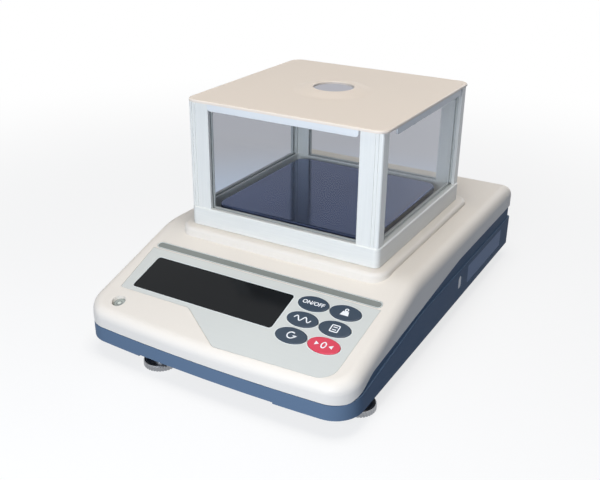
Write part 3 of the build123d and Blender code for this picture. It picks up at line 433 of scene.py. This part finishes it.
def enamel(name, color, roughness):
    """Paint baked on sheet: slow waves in its skin and a cloudy tone."""
    material, bench = start_material(name)
    peel = bench.noise(160.0, 2.0)
    tone = bench.noise(11.0, 3.0)
    close_material(bench, bench.add("ShaderNodeBsdfPrincipled", {}, {
        "Base Color": bench.mix(tone, shade(color, 0.97), shade(color, 1.03)),
        "Roughness": roughness * 0.85 + tone * (roughness * 0.3),
        "Normal": bench.bump(peel, 0.00002),
    }))
    return material


def turned_metal(name, color, roughness, centre):
    """Lathe-turned metal: rings round a centre given in metres."""
    material, bench = start_material(name)
    place = bench.add("ShaderNodeTexCoord", output=3)
    moved = bench.add("ShaderNodeMapping", {"vector_type": "POINT"}, {
        "Vector": place, "Location": (-centre[0], -centre[1], 0.0)})
    rings = bench.add("ShaderNodeTexWave", {"wave_type": "RINGS", "rings_direction": "Z"}, {
        "Vector": moved, "Scale": 260.0, "Distortion": 0.6, "Detail": 2.0}, output=1)
    close_material(bench, bench.add("ShaderNodeBsdfPrincipled", {}, {
        "Base Color": bench.mix(rings, shade(color, 0.9), shade(color, 1.05)),
        "Metallic": 1.0,
        "Roughness": roughness * 0.85 + rings * (roughness * 0.3),
        "Normal": bench.bump(rings, 0.00001),
    }))
    return material


along_z = (1, 1, 0.03)
along_x = (0.03, 1, 1)
finishes.update({
    "post": drawn_metal("shield_satin", (0.775, 0.775, 0.735), 0.42, along_z, metallic=0.15),
    "rail": drawn_metal("frame_satin", (0.775, 0.775, 0.735), 0.42, (0.05, 0.05, 1), metallic=0.15),
    "lid": enamel("lid_ivory", (0.83, 0.725, 0.615), 0.42),
    "lip": enamel("lid_lip_white", (0.77, 0.78, 0.77), 0.36),
    # The pan's dark navy colour is a painted reflection: the steel is made dark and blue in place of the dim
    # surroundings it mirrors.
    "pan": mirror_steel("pan_polished_painted_reflection", (0.105, 0.145, 0.27), 0.10),
    "dust": enamel("dust_plate_grey", (0.84, 0.84, 0.80), 0.34),
    "alloy": drawn_metal("machined_alloy", (0.62, 0.63, 0.65), 0.38, along_x),
    "steel": drawn_metal("plated_steel", (0.55, 0.55, 0.56), 0.30, along_z),
    "tin": drawn_metal("tinned_shell", (0.62, 0.62, 0.60), 0.25, along_x),
    "brass": drawn_metal("turned_brass", (0.72, 0.50, 0.20), 0.28, along_z),
})
print("metals and enamels:", [made.name for key, made in finishes.items() if key in ("post", "rail", "lid", "pan")])

# %% [markdown]
# ## Rubber and circuit board
# Rubber is dull and a little dusty. A board is glass cloth under green lacquer: a fine weave under a
# pattern of copper tracks, which show as paler lines where two waves cross.

# %% Rubber and board


def circuit_board(name):
    """Green lacquer over a weave, with paler tracks from a brick pattern."""
    material, bench = start_material(name)
    place = bench.add("ShaderNodeTexCoord", output=3)
    tracks = bench.add("ShaderNodeTexBrick", {"offset": 0.3}, {
        "Vector": place, "Scale": 90.0, "Mortar Size": 0.035, "Color1": (0, 0, 0, 1), "Color2": (0.1, 0.1, 0.1, 1),
        "Mortar": (1, 1, 1, 1)})
    weave = bench.noise(1400.0, 1.0)
    lacquer = bench.mix(weave, (0.010, 0.085, 0.030, 1), (0.018, 0.115, 0.045, 1))
    close_material(bench, bench.add("ShaderNodeBsdfPrincipled", {}, {
        "Base Color": bench.mix(tracks, lacquer, (0.05, 0.24, 0.10, 1)),
        "Roughness": 0.30 + weave * 0.1,
        "Normal": bench.bump(weave, 0.00001),
    }))
    return material


finishes["rubber"] = moulded("soft_rubber", (0.028, 0.028, 0.028), 0.75, grain=900.0, grain_depth=0.00006, cloud=0.12)
finishes["board"] = circuit_board("board_green")
finishes["tube"] = lens("display_tube_glass", (0.02, 0.03, 0.03))
print("and", finishes["board"].name, finishes["rubber"].name)

# %% [markdown]
# ## Dressing the solid pieces
# Each solid piece takes one finish. The names in the table are the pieces' own, so a missing or a mistyped
# one stops the script at once.

# %% Finish for each piece
corners = ("front_left", "front_right", "rear_left", "rear_right")
sides = ("front", "right", "rear", "left")
dress = {
    "cover": ["upper_cover"],
    "case": ["lower_case", "hook_cover"],
    "overlay": ["panel_overlay"],
    "strip": ["title_strip"],
    "label": ["side_label"],
    "lens": ["display_window"],
    "key": ["on_off_key", "sample_key", "mode_key", "calibration_key", "print_key"],
    "zero_key": ["zero_key"],
    "pale": ["side_slot_plug"],
    "cup": ["level_cup"],
    "vial": ["level_vial"],
    "rail": ["shield_frame"],
    "post": [f"shield_post_{corner}" for corner in corners],
    "glass": [f"shield_pane_{side}" for side in sides],
    "lid": ["shield_lid"],
    "pan": ["weighing_pan"],
    "dust": ["dust_plate"],
    "alloy": ["base_plate", "load_cell", "sensor_spacer", "receptor_arm", "pan_spindle"],
    "steel": ["board_screws", "case_screws", "hook_cover_screw", "receptor_screws", "sensor_screws",
              "shield_screws", "weighing_hook", "ground_terminal"],
    "tin": ["serial_port"],
    "brass": ["foot_inserts", "port_jackscrews"],
    "rubber": ["pan_cushions"] + [f"foot_pad_{corner}" for corner in corners],
    "board": ["display_board", "main_board"],
    "tube": ["display_tube"],
    "black": ["key_switches", "power_jack", "serial_insert"],
}


def put_on(piece, material):
    """Give a piece that one material."""
    piece.data.materials.clear()
    piece.data.materials.append(material)


for finish_name, names in dress.items():
    for name in names:
        put_on(nodes[name], finishes[finish_name])
foot_color = (0.36, 0.37, 0.39)
for corner in corners:
    low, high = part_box(f"foot_{corner}")
    centre = (low + high) / 2
    finishes[f"foot_{corner}"] = turned_metal(f"turned_foot_{corner}", foot_color, 0.34, centre)
    put_on(nodes[f"foot_{corner}"], finishes[f"foot_{corner}"])
dressed = {name for names in dress.values() for name in names} | {f"foot_{corner}" for corner in corners}
print("dressed", len(dressed), "of", len(nodes), "missing", sorted(set(nodes) - dressed))

# %% [markdown]
# ## Surfaces from arrays
# A thin printed line, a lid or a bubble is a surface over two parameters. The points are worked out as one
# array of rows, the faces join each point to its neighbours, and the mesh is closed where a parameter runs
# round. Nothing loops over points.

# %% Mesh from a grid of points
weld_distance = 0.0001 * mm
sharp_angle = math.radians(35)


def grid_piece(name, points, material, body, round_rows=True, round_columns=True):
    """A closed or open grid of points (rows, columns, 3) as a piece that rides on a body.
    Each face joins a point to the next in its row, the next row, and back."""
    rows, columns = points.shape[:2]
    row = np.arange(rows if round_rows else rows - 1)
    column = np.arange(columns if round_columns else columns - 1)
    r, c = np.meshgrid(row, column, indexing="ij")
    r_next, c_next = (r + 1) % rows, (c + 1) % columns
    quads = np.stack([r * columns + c, r_next * columns + c, r_next * columns + c_next, r * columns + c_next], -1)
    mesh = bpy.data.meshes.new(name)
    mesh.from_pydata(points.reshape(-1, 3).tolist(), [], quads.reshape(-1, 4).tolist())
    return finish_piece(name, mesh, material, body)


def finish_piece(name, mesh, material, body):
    """Link a mesh as a piece, with its points welded, its faces turned outwards and its soft edges smooth."""
    built = bmesh.new()
    built.from_mesh(mesh)
    bmesh.ops.remove_doubles(built, verts=built.verts, dist=weld_distance)
    bmesh.ops.recalc_face_normals(built, faces=built.faces)
    built.to_mesh(mesh)
    built.free()
    mesh.shade_smooth()
    mesh.set_sharp_from_angle(angle=sharp_angle)
    piece = bpy.data.objects.new(name, mesh)
    bpy.context.scene.collection.objects.link(piece)
    put_on(piece, material)
    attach(piece, body)
    return piece


def rounded_rectangle(width, height, radius, per_corner=12):
    """Closed outline: four quarter circles whose centres are the corners of a smaller rectangle.
    Gives the points and the outward unit vectors."""
    quarter = np.linspace(0, math.pi / 2, per_corner)
    angle = (np.arange(4)[:, None] * math.pi / 2 + quarter).ravel()
    outward = np.stack([np.cos(angle), np.sin(angle)], -1)
    sign = np.repeat(np.array([(1, 1), (-1, 1), (-1, -1), (1, -1)]), per_corner, axis=0)
    centres = sign * np.array([width / 2 - radius, height / 2 - radius])
    return centres + radius * outward, outward


def ellipse(half_width, half_height, count=72):
    """Closed ellipse and its outward unit vectors."""
    angle = np.linspace(0, 2 * math.pi, count, endpoint=False)
    points = np.stack([half_width * np.cos(angle), half_height * np.sin(angle)], -1)
    outward = np.stack([half_height * np.cos(angle), half_width * np.sin(angle)], -1)
    return points, outward / np.linalg.norm(outward, axis=1, keepdims=True)


print("outline of", len(rounded_rectangle(1, 1, 0.1)[0]), "points")

# %% [markdown]
# ## The sloping panel
# The panel rises from the front edge at about 17 degrees. A point on it has a place across, a place up the
# slope and a height off it. These are the same sizes as the solid pieces have.

# %% Places on the panel
panel_rise = 0.31
panel_slope = math.atan(panel_rise)
panel_front_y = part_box("upper_cover")[0].y
panel_front_z = 37.0 * mm
print_level = -0.1 * mm
key_level = 0.5 * mm
ink_thickness = 0.04 * mm
key_rows = (32.1 * mm, 47.3 * mm, 62.5 * mm)
key_half_width = 11.2 * mm
key_half_height = 6.5 * mm


def on_panel(across, along, height):
    """Panel places as points: turned about X by the slope, from the panel's front edge."""
    across, along, height = np.broadcast_arrays(across, along, height)
    y = panel_front_y + along * math.cos(panel_slope) - height * math.sin(panel_slope)
    z = panel_front_z + along * math.sin(panel_slope) + height * math.cos(panel_slope)
    return np.stack([across, y, z], -1)


def key_place(key):
    """Across and along of a key's middle: its column from its box, its row from how far back it is."""
    low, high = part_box(key)
    across = (low.x + high.x) / 2
    back = ((low.y + high.y) / 2 - panel_front_y) / math.cos(panel_slope)
    return across, min(key_rows, key=lambda along: abs(along - back))


def band(name, outline, outward, middle, inner, outer, level, thickness, body, material, slot):
    """A closed printed line: the outline pushed out by inner and by outer, between two heights."""
    offsets = np.array([(inner, level - thickness), (inner, level + thickness),
                        (outer, level + thickness), (outer, level - thickness)])
    places = outline + outward * offsets[:, None, :1] + np.array(middle)
    points = on_panel(places[..., 0], places[..., 1], offsets[:, None, 1])
    return grid_piece(name, points, material, body)


key_names = ("on_off_key", "sample_key", "mode_key", "calibration_key", "print_key", "zero_key")
for key in key_names:
    print(key, [round(place / mm, 1) for place in key_place(key)])

# %% [markdown]
# ## Printed outlines
# A thin pale line runs round each key, round the window and round the strip. On the real panel they are
# ink, so here they are closed bands a few hundredths of a millimetre thick that lie on the film.

# %% Outlines of keys, window and strip
outline_gap = 0.35 * mm
outline_width = 0.55 * mm
outlines = []
key_outline, key_outward = ellipse(key_half_width, key_half_height)
for key in key_names:
    outlines.append(band(f"{key}_outline", key_outline, key_outward, key_place(key), outline_gap,
                         outline_gap + outline_width, print_level, ink_thickness, "housing",
                         finishes["outline"], "overlay_film"))

window_middle = (-24.35 * mm, 49.1 * mm)
window_edges = (0.3 * mm, 0.85 * mm)
window_outline, window_outward = rounded_rectangle(114.7 * mm, 32.2 * mm, 2.2 * mm)
outlines.append(band("window_outline", window_outline, window_outward, window_middle, *window_edges,
                     print_level, ink_thickness, "housing", finishes["outline"], "overlay_film"))

strip_middle = (0.0, 77.2 * mm)
strip_edges = (-0.65 * mm, -0.15 * mm)
strip_outline, strip_outward = rounded_rectangle(183.6 * mm, 6.4 * mm, 3.15 * mm)
outlines.append(band("strip_outline", strip_outline, strip_outward, strip_middle, *strip_edges,
                     print_level, ink_thickness, "housing", finishes["outline"], "strip_film"))
print(len(outlines), "printed outlines")

# %% [markdown]
# ## Marks on the keys
# The real keys carry short white words. Words aren't copied here, apart from ON and OFF, which any switch
# may say. The others get plain pictograms that many instruments share: a wave for sampling, a round arrow
# for the mode, a knobbed weight for calibration, a sheet for printing and a nought between two arrowheads
# for zero. A stroke is a path with a width, whose ends are round.

# %% Strokes and pictograms
mark_width = 0.85 * mm
mark_thickness = 0.05 * mm


def stroke(path, width, cap_points=7):
    """Closed outline of a line with round ends: the path pushed to one side, a half circle, the path back on
    the other side, a half circle."""
    along = np.gradient(path, axis=0)
    along /= np.linalg.norm(along, axis=1, keepdims=True)
    aside = np.stack([-along[:, 1], along[:, 0]], -1) * width / 2
    sweep = np.linspace(-math.pi / 2, math.pi / 2, cap_points)[1:-1]
    cap = np.stack([np.cos(sweep), -np.sin(sweep)], -1) * width / 2

    def end_cap(point, direction):
        across_end = np.array([-direction[1], direction[0]])
        return point + cap[:, :1] * direction + cap[:, 1:] * across_end

    return np.concatenate([path + aside, end_cap(path[-1], along[-1]), (path - aside)[::-1],
                           end_cap(path[0], -along[0])])


def plate(name, shapes, level, thickness, middle, body, material):
    """Flat closed outlines as one piece of thin plates, each a fan round its own middle, top and bottom."""
    points, faces = [], []
    for outline in shapes:
        count, first = len(outline), sum(len(part) for part in points)
        placed = outline + np.array(middle)
        for height in (level - thickness, level + thickness):
            points.append(on_panel(placed[:, 0], placed[:, 1], height))
        index = np.arange(count)
        after = (index + 1) % count
        walls = np.stack([index, after, after + count, index + count], -1) + first
        faces += walls.tolist()
        faces += [(index[::-1] + first).tolist(), (index + count + first).tolist()]
    mesh = bpy.data.meshes.new(name)
    mesh.from_pydata(np.concatenate(points).tolist(), [], faces)
    return finish_piece(name, mesh, material, body)


def line(*points, count=12):
    """Points along straight runs between the corners given in millimetres."""
    corners = np.array(points, float) * mm
    steps = np.linspace(0, len(corners) - 1, count * (len(corners) - 1) + 1)
    return np.stack([np.interp(steps, np.arange(len(corners)), corners[:, axis]) for axis in (0, 1)], -1)


def arc(radius, start, end, count=28, centre=(0, 0)):
    """Points on a circle of that radius in millimetres, between two angles in degrees."""
    angle = np.radians(np.linspace(start, end, count))
    circle = np.stack([np.cos(angle), np.sin(angle)], -1) * radius
    return (circle + np.array(centre)) * mm


def line_mark(height):
    """A short written line on the sheet, at that height in millimetres."""
    return stroke(line((-1.2, height), (1.2, height)), 0.7 * mm)


def loop(outline, outward, width):
    """A closed line of that width, but for one seam thinner than a hair: the outline pushed outwards, then back
    inwards. The last point of each pass is 0.99 of the way from the outline's last point to its first."""
    outer, inner = outline + outward * width / 2, outline - outward * width / 2
    outer_end, inner_end = [0.99 * edge[:1] + 0.01 * edge[-1:] for edge in (outer, inner)]
    return np.concatenate([outer, outer_end, inner_end, inner[::-1]])


sine = np.linspace(-1, 1, 48)
wave = np.stack([sine * 6.0, np.sin(sine * 2 * math.pi) * 1.9], -1) * mm
page = rounded_rectangle(5.4 * mm, 5.6 * mm, 0.5 * mm, 4)
nought = ellipse(1.5 * mm, 2.3 * mm, 40)
weight_shape = line((-3.0, -2.6), (3.0, -2.6), (2.1, 1.0), (-2.1, 1.0), count=1)
knob_circle, knob_outward = ellipse(1.05 * mm, 1.05 * mm, 24)
knob_raised = knob_circle + np.array([0, 2.3 * mm])
pictograms = {
    "sample_key": [stroke(wave, mark_width)],
    "mode_key": [stroke(arc(2.6, 60, 360), mark_width), line((1.0, 0.3), (4.4, 0.3), (2.7, -1.9), count=1)],
    "calibration_key": [weight_shape, loop(knob_raised, knob_outward, 0.75 * mm)],
    "print_key": [loop(*page, 0.8 * mm), line_mark(1.1), line_mark(-1.1)],
    "zero_key": [loop(*nought, mark_width), line((-6.2, 1.6), (-3.4, 0), (-6.2, -1.6), count=1),
                 line((6.2, 1.6), (3.4, 0), (6.2, -1.6), count=1)],
}
for key, shapes in pictograms.items():
    plate(f"{key}_mark", shapes, key_level, mark_thickness, key_place(key), key,
          finishes["white_print"])
print("pictograms on", sorted(pictograms))

# %% Lettering of the switch
letter_height = 3.3 * mm
text_curve = bpy.data.curves.new("on_off_text", "FONT")
text_curve.body = "ON/OFF"
text_curve.align_x = "CENTER"
text_curve.align_y = "CENTER"
text_curve.size = letter_height * 1.35
text_curve.extrude = mark_thickness
text_curve.offset = 0.09 * mm
text_object = bpy.data.objects.new("on_off_text", text_curve)
bpy.context.scene.collection.objects.link(text_object)
bpy.context.view_layer.update()
evaluated = text_object.evaluated_get(bpy.context.evaluated_depsgraph_get())
letters = bpy.data.meshes.new_from_object(evaluated)
bpy.data.objects.remove(text_object)
flat = np.zeros(len(letters.vertices) * 3, np.float32)
letters.vertices.foreach_get("co", flat)
flat = flat.reshape(-1, 3)
across, along = key_place("on_off_key")
laid = on_panel(flat[:, 0] + across, flat[:, 1] + along, flat[:, 2] + key_level)
letters.vertices.foreach_set("co", laid.astype(np.float32).ravel())
letters.update()
finish_piece("on_off_key_mark", letters, finishes["white_print"], "on_off_key")
print("letters of", len(letters.vertices), "points, width", round(float(np.ptp(flat[:, 0])) / mm, 1), "mm")

# %% [markdown]
# ## The bubble level
# A round vial of pale fluid shows through a hole at the front left. The user centres the bubble in a printed
# ring. The ring is a flat band and the bubble a squashed ball, both just above the vial's domed top.

# %% Ring and bubble
level_middle = (-81.0 * mm, 16.2 * mm)
vial_top = -2.1 * mm
ring_radius = 1.9 * mm
ring_width = 0.22 * mm
ring_lift = 0.03 * mm
bubble_radius = 1.2 * mm
bubble_height = 0.25 * mm
circle, circle_outward = ellipse(ring_radius, ring_radius, 48)
band("level_ring", circle, circle_outward, level_middle, 0.0, ring_width, vial_top + ring_lift, ring_lift, "housing",
     finishes["black"], "black_plastic")


def squashed_ball(name, middle, level, radius, height, material, body, rings=14, around=36):
    """Ellipsoid: circles whose radius is the sine and whose height is the cosine of one angle. The first and
    the last circle shrink to the poles."""
    polar = np.linspace(0, math.pi, rings)[:, None]
    turn_angle = np.linspace(0, 2 * math.pi, around, endpoint=False)[None, :]
    across = middle[0] + radius * np.sin(polar) * np.cos(turn_angle)
    along = middle[1] + radius * np.sin(polar) * np.sin(turn_angle)
    above = level + height * np.cos(polar)
    return grid_piece(name, on_panel(across, along, above), material, body, round_rows=False)


bubble_middle = (level_middle[0] - 0.4 * mm, level_middle[1] + 0.3 * mm)
squashed_ball("level_bubble", bubble_middle, vial_top, bubble_radius, bubble_height,
              finishes["bubble"], "housing")
print("level at", [round(v / mm, 1) for v in level_middle])

# %% [markdown]
# ## The lid
# The lid is a square of enamelled sheet. A low boss swells smoothly in its middle and ends in a round hole
# with a rolled edge, and its outer edge is rounded too. Its shape is a profile carried round: near the hole
# each ring is a circle, further out it turns by degrees into the rounded square. The height of the boss
# follows a smooth step, 3t squared less 2t cubed.

# %% Lid as a carried profile
lid_low, lid_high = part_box("shield_lid")
lid_middle = np.array([(lid_low.x + lid_high.x) / 2, (lid_low.y + lid_high.y) / 2])
lid_half = (lid_high.x - lid_low.x) / 2
lid_corner = 8.0 * mm
sheet_thickness = 2.0 * mm
boss_height = 2.5 * mm
boss_foot = 31.0 * mm
boss_shoulder = 17.0 * mm
hole_radius = 15.0 * mm
edge_round = 0.95 * mm
slope_rings = 22
flat_rings = 14
lid_top = lid_high.z - boss_height
lid_bottom = lid_top - sheet_thickness


def boss(radius):
    """Height of the boss over the sheet: 1 at its shoulder, 0 at its foot, and a smooth step between."""
    t = np.clip((boss_foot - radius) / (boss_foot - boss_shoulder), 0, 1)
    return boss_height * t * t * (3 - 2 * t)


# Places round the lid are closer together at its four corners
side_angles = np.radians(np.linspace(-41.5, 41.5, 29))
corner_angles = np.radians(np.linspace(42.0, 48.0, 11))
quarter_angles = np.concatenate([side_angles, corner_angles])
ring_angles = (np.arange(4)[:, None] * math.pi / 2 + quarter_angles).ravel()


def ring_of(radius):
    """One ring of the lid at a radius: a circle up to the boss's foot, then by degrees the rounded square."""
    round_x, round_y = np.cos(ring_angles), np.sin(ring_angles)
    share = np.clip((radius - boss_foot) / (lid_half - boss_foot), 0, 1)
    corner = lid_corner / lid_half
    reach = np.maximum(np.abs(round_x), np.abs(round_y))
    square_x, square_y = round_x / reach, round_y / reach
    inner = 1 - corner
    over_x = np.maximum(np.abs(square_x) - inner, 0) * np.sign(square_x)
    over_y = np.maximum(np.abs(square_y) - inner, 0) * np.sign(square_y)
    length = np.hypot(over_x, over_y)
    both = (np.abs(square_x) > inner) & (np.abs(square_y) > inner)
    fit = np.where(both, corner / np.maximum(length, 1e-9), 1.0)
    soft_x = np.where(both, np.sign(square_x) * inner + over_x * fit, square_x)
    soft_y = np.where(both, np.sign(square_y) * inner + over_y * fit, square_y)
    weight = share ** 0.6
    return radius * np.stack([(1 - weight) * round_x + weight * soft_x, (1 - weight) * round_y + weight * soft_y], -1)


quarter_turn = np.linspace(0, math.pi / 2, 7)
hole_lip_r = hole_radius + edge_round - edge_round * np.sin(quarter_turn)[::-1]
hole_lip_z = lid_top + boss_height - edge_round + edge_round * np.cos(quarter_turn)[::-1]
slope_r = np.linspace(hole_radius + edge_round * 1.6, boss_foot, slope_rings)
flat_r = np.linspace(boss_foot + 3 * mm, lid_half - edge_round, flat_rings)
rim_r = lid_half - edge_round + edge_round * np.sin(quarter_turn)[1:]
rim_z = lid_top - edge_round + edge_round * np.cos(quarter_turn)[1:]
under_r = np.concatenate([[lid_half], flat_r[::-1], slope_r[::-1], [hole_radius]])
profile_r = np.concatenate([hole_lip_r, slope_r, flat_r, rim_r, under_r])
profile_z = np.concatenate([hole_lip_z, lid_top + boss(slope_r), np.full(flat_rings, lid_top), rim_z,
                            lid_bottom + boss(under_r)])
rings = np.stack([ring_of(radius) for radius in profile_r])
lid_points = np.concatenate([rings + lid_middle, np.broadcast_to(profile_z[:, None, None], rings.shape[:2] + (1,))], -1)
lid_sheet = grid_piece("lid_sheet", lid_points, finishes["lid"], "lid")
print("lid sheet", lid_points.shape[:2], "points, top", round(lid_top / mm, 1), "mm")

# %% Lips and lugs of the lid
lip_length = 118.0 * mm
lip_drop = 4.8 * mm
lip_sheet = 1.4 * mm
lip_corner = 2.4 * mm
lip_inset = 0.25 * mm
lip_soft = 0.3 * mm
lip_tuck = 0.4 * mm
lug_half = 3.5 * mm
lug_reach = 66.2 * mm
lug_drop = 4.0 * mm
lug_corner = 1.0 * mm
lug_soft = 0.4 * mm


def rounded_block(name, outline, outward, low, high, soft, place, material, body):
    """A plate with softened edges: an outline drawn in by a quarter circle at both faces, and closed by a fan.
    Place turns (u, v, height) into points."""
    sweep = np.linspace(0, math.pi / 2, 5)
    draw_in = np.concatenate([[0.0], soft * (1 - np.sin(sweep)), soft * (1 - np.cos(sweep)), [0.0]])
    level = np.concatenate([[low], low + soft * (1 - np.cos(sweep)), high - soft * (1 - np.sin(sweep)), [high]])
    places = outline - outward * draw_in[:, None, None]
    places[0] = places[-1] = outline.mean(0)
    points = place(places[..., 0], places[..., 1], np.broadcast_to(level[:, None], places.shape[:2]))
    return grid_piece(name, points, material, body, round_rows=False)


lip_outline, lip_outward = rounded_rectangle(lip_length, 2 * lip_drop, lip_corner)
for index, side in enumerate(sides):
    quarter = index * math.pi / 2
    axis_x = np.array([math.cos(quarter), math.sin(quarter), 0.0])
    axis_out = np.array([math.sin(quarter), -math.cos(quarter), 0.0])

    def upright(u, v, depth, axis_x=axis_x, axis_out=axis_out):
        """Along the side, down from the sheet, and outwards. The top is cut off just inside the sheet."""
        height = np.minimum(v + lid_bottom, lid_bottom + lip_tuck)
        middle = np.array([lid_middle[0], lid_middle[1], 0.0])
        return middle + u[..., None] * axis_x + depth[..., None] * axis_out + height[..., None] * np.array([0, 0, 1.0])

    rounded_block(f"lid_lip_{side}", lip_outline, lip_outward, lid_half - lip_sheet - lip_inset,
                  lid_half - lip_inset, lip_soft, upright, finishes["lip"], "lid")

lug_outline, lug_outward = rounded_rectangle(2 * lug_half, 2 * lug_half, lug_corner)
for sign_x, sign_y in ((-1, -1), (1, -1), (1, 1), (-1, 1)):
    def level_plate(u, v, height, sign_x=sign_x, sign_y=sign_y):
        """Across, back and up, round one lug's middle."""
        return np.stack([u + lid_middle[0] + sign_x * lug_reach, v + lid_middle[1] + sign_y * lug_reach, height], -1)

    side_name = f"lid_lug_{'left' if sign_x < 0 else 'right'}_{'front' if sign_y < 0 else 'rear'}"
    rounded_block(side_name, lug_outline, lug_outward, lid_bottom - lug_drop, lid_bottom, lug_soft, level_plate,
                  finishes["lip"], "lid")
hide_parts("shield_lid")
print("lid lips and lugs made")

# %% [markdown] The dressed balance has to stay inside the solid model's box.
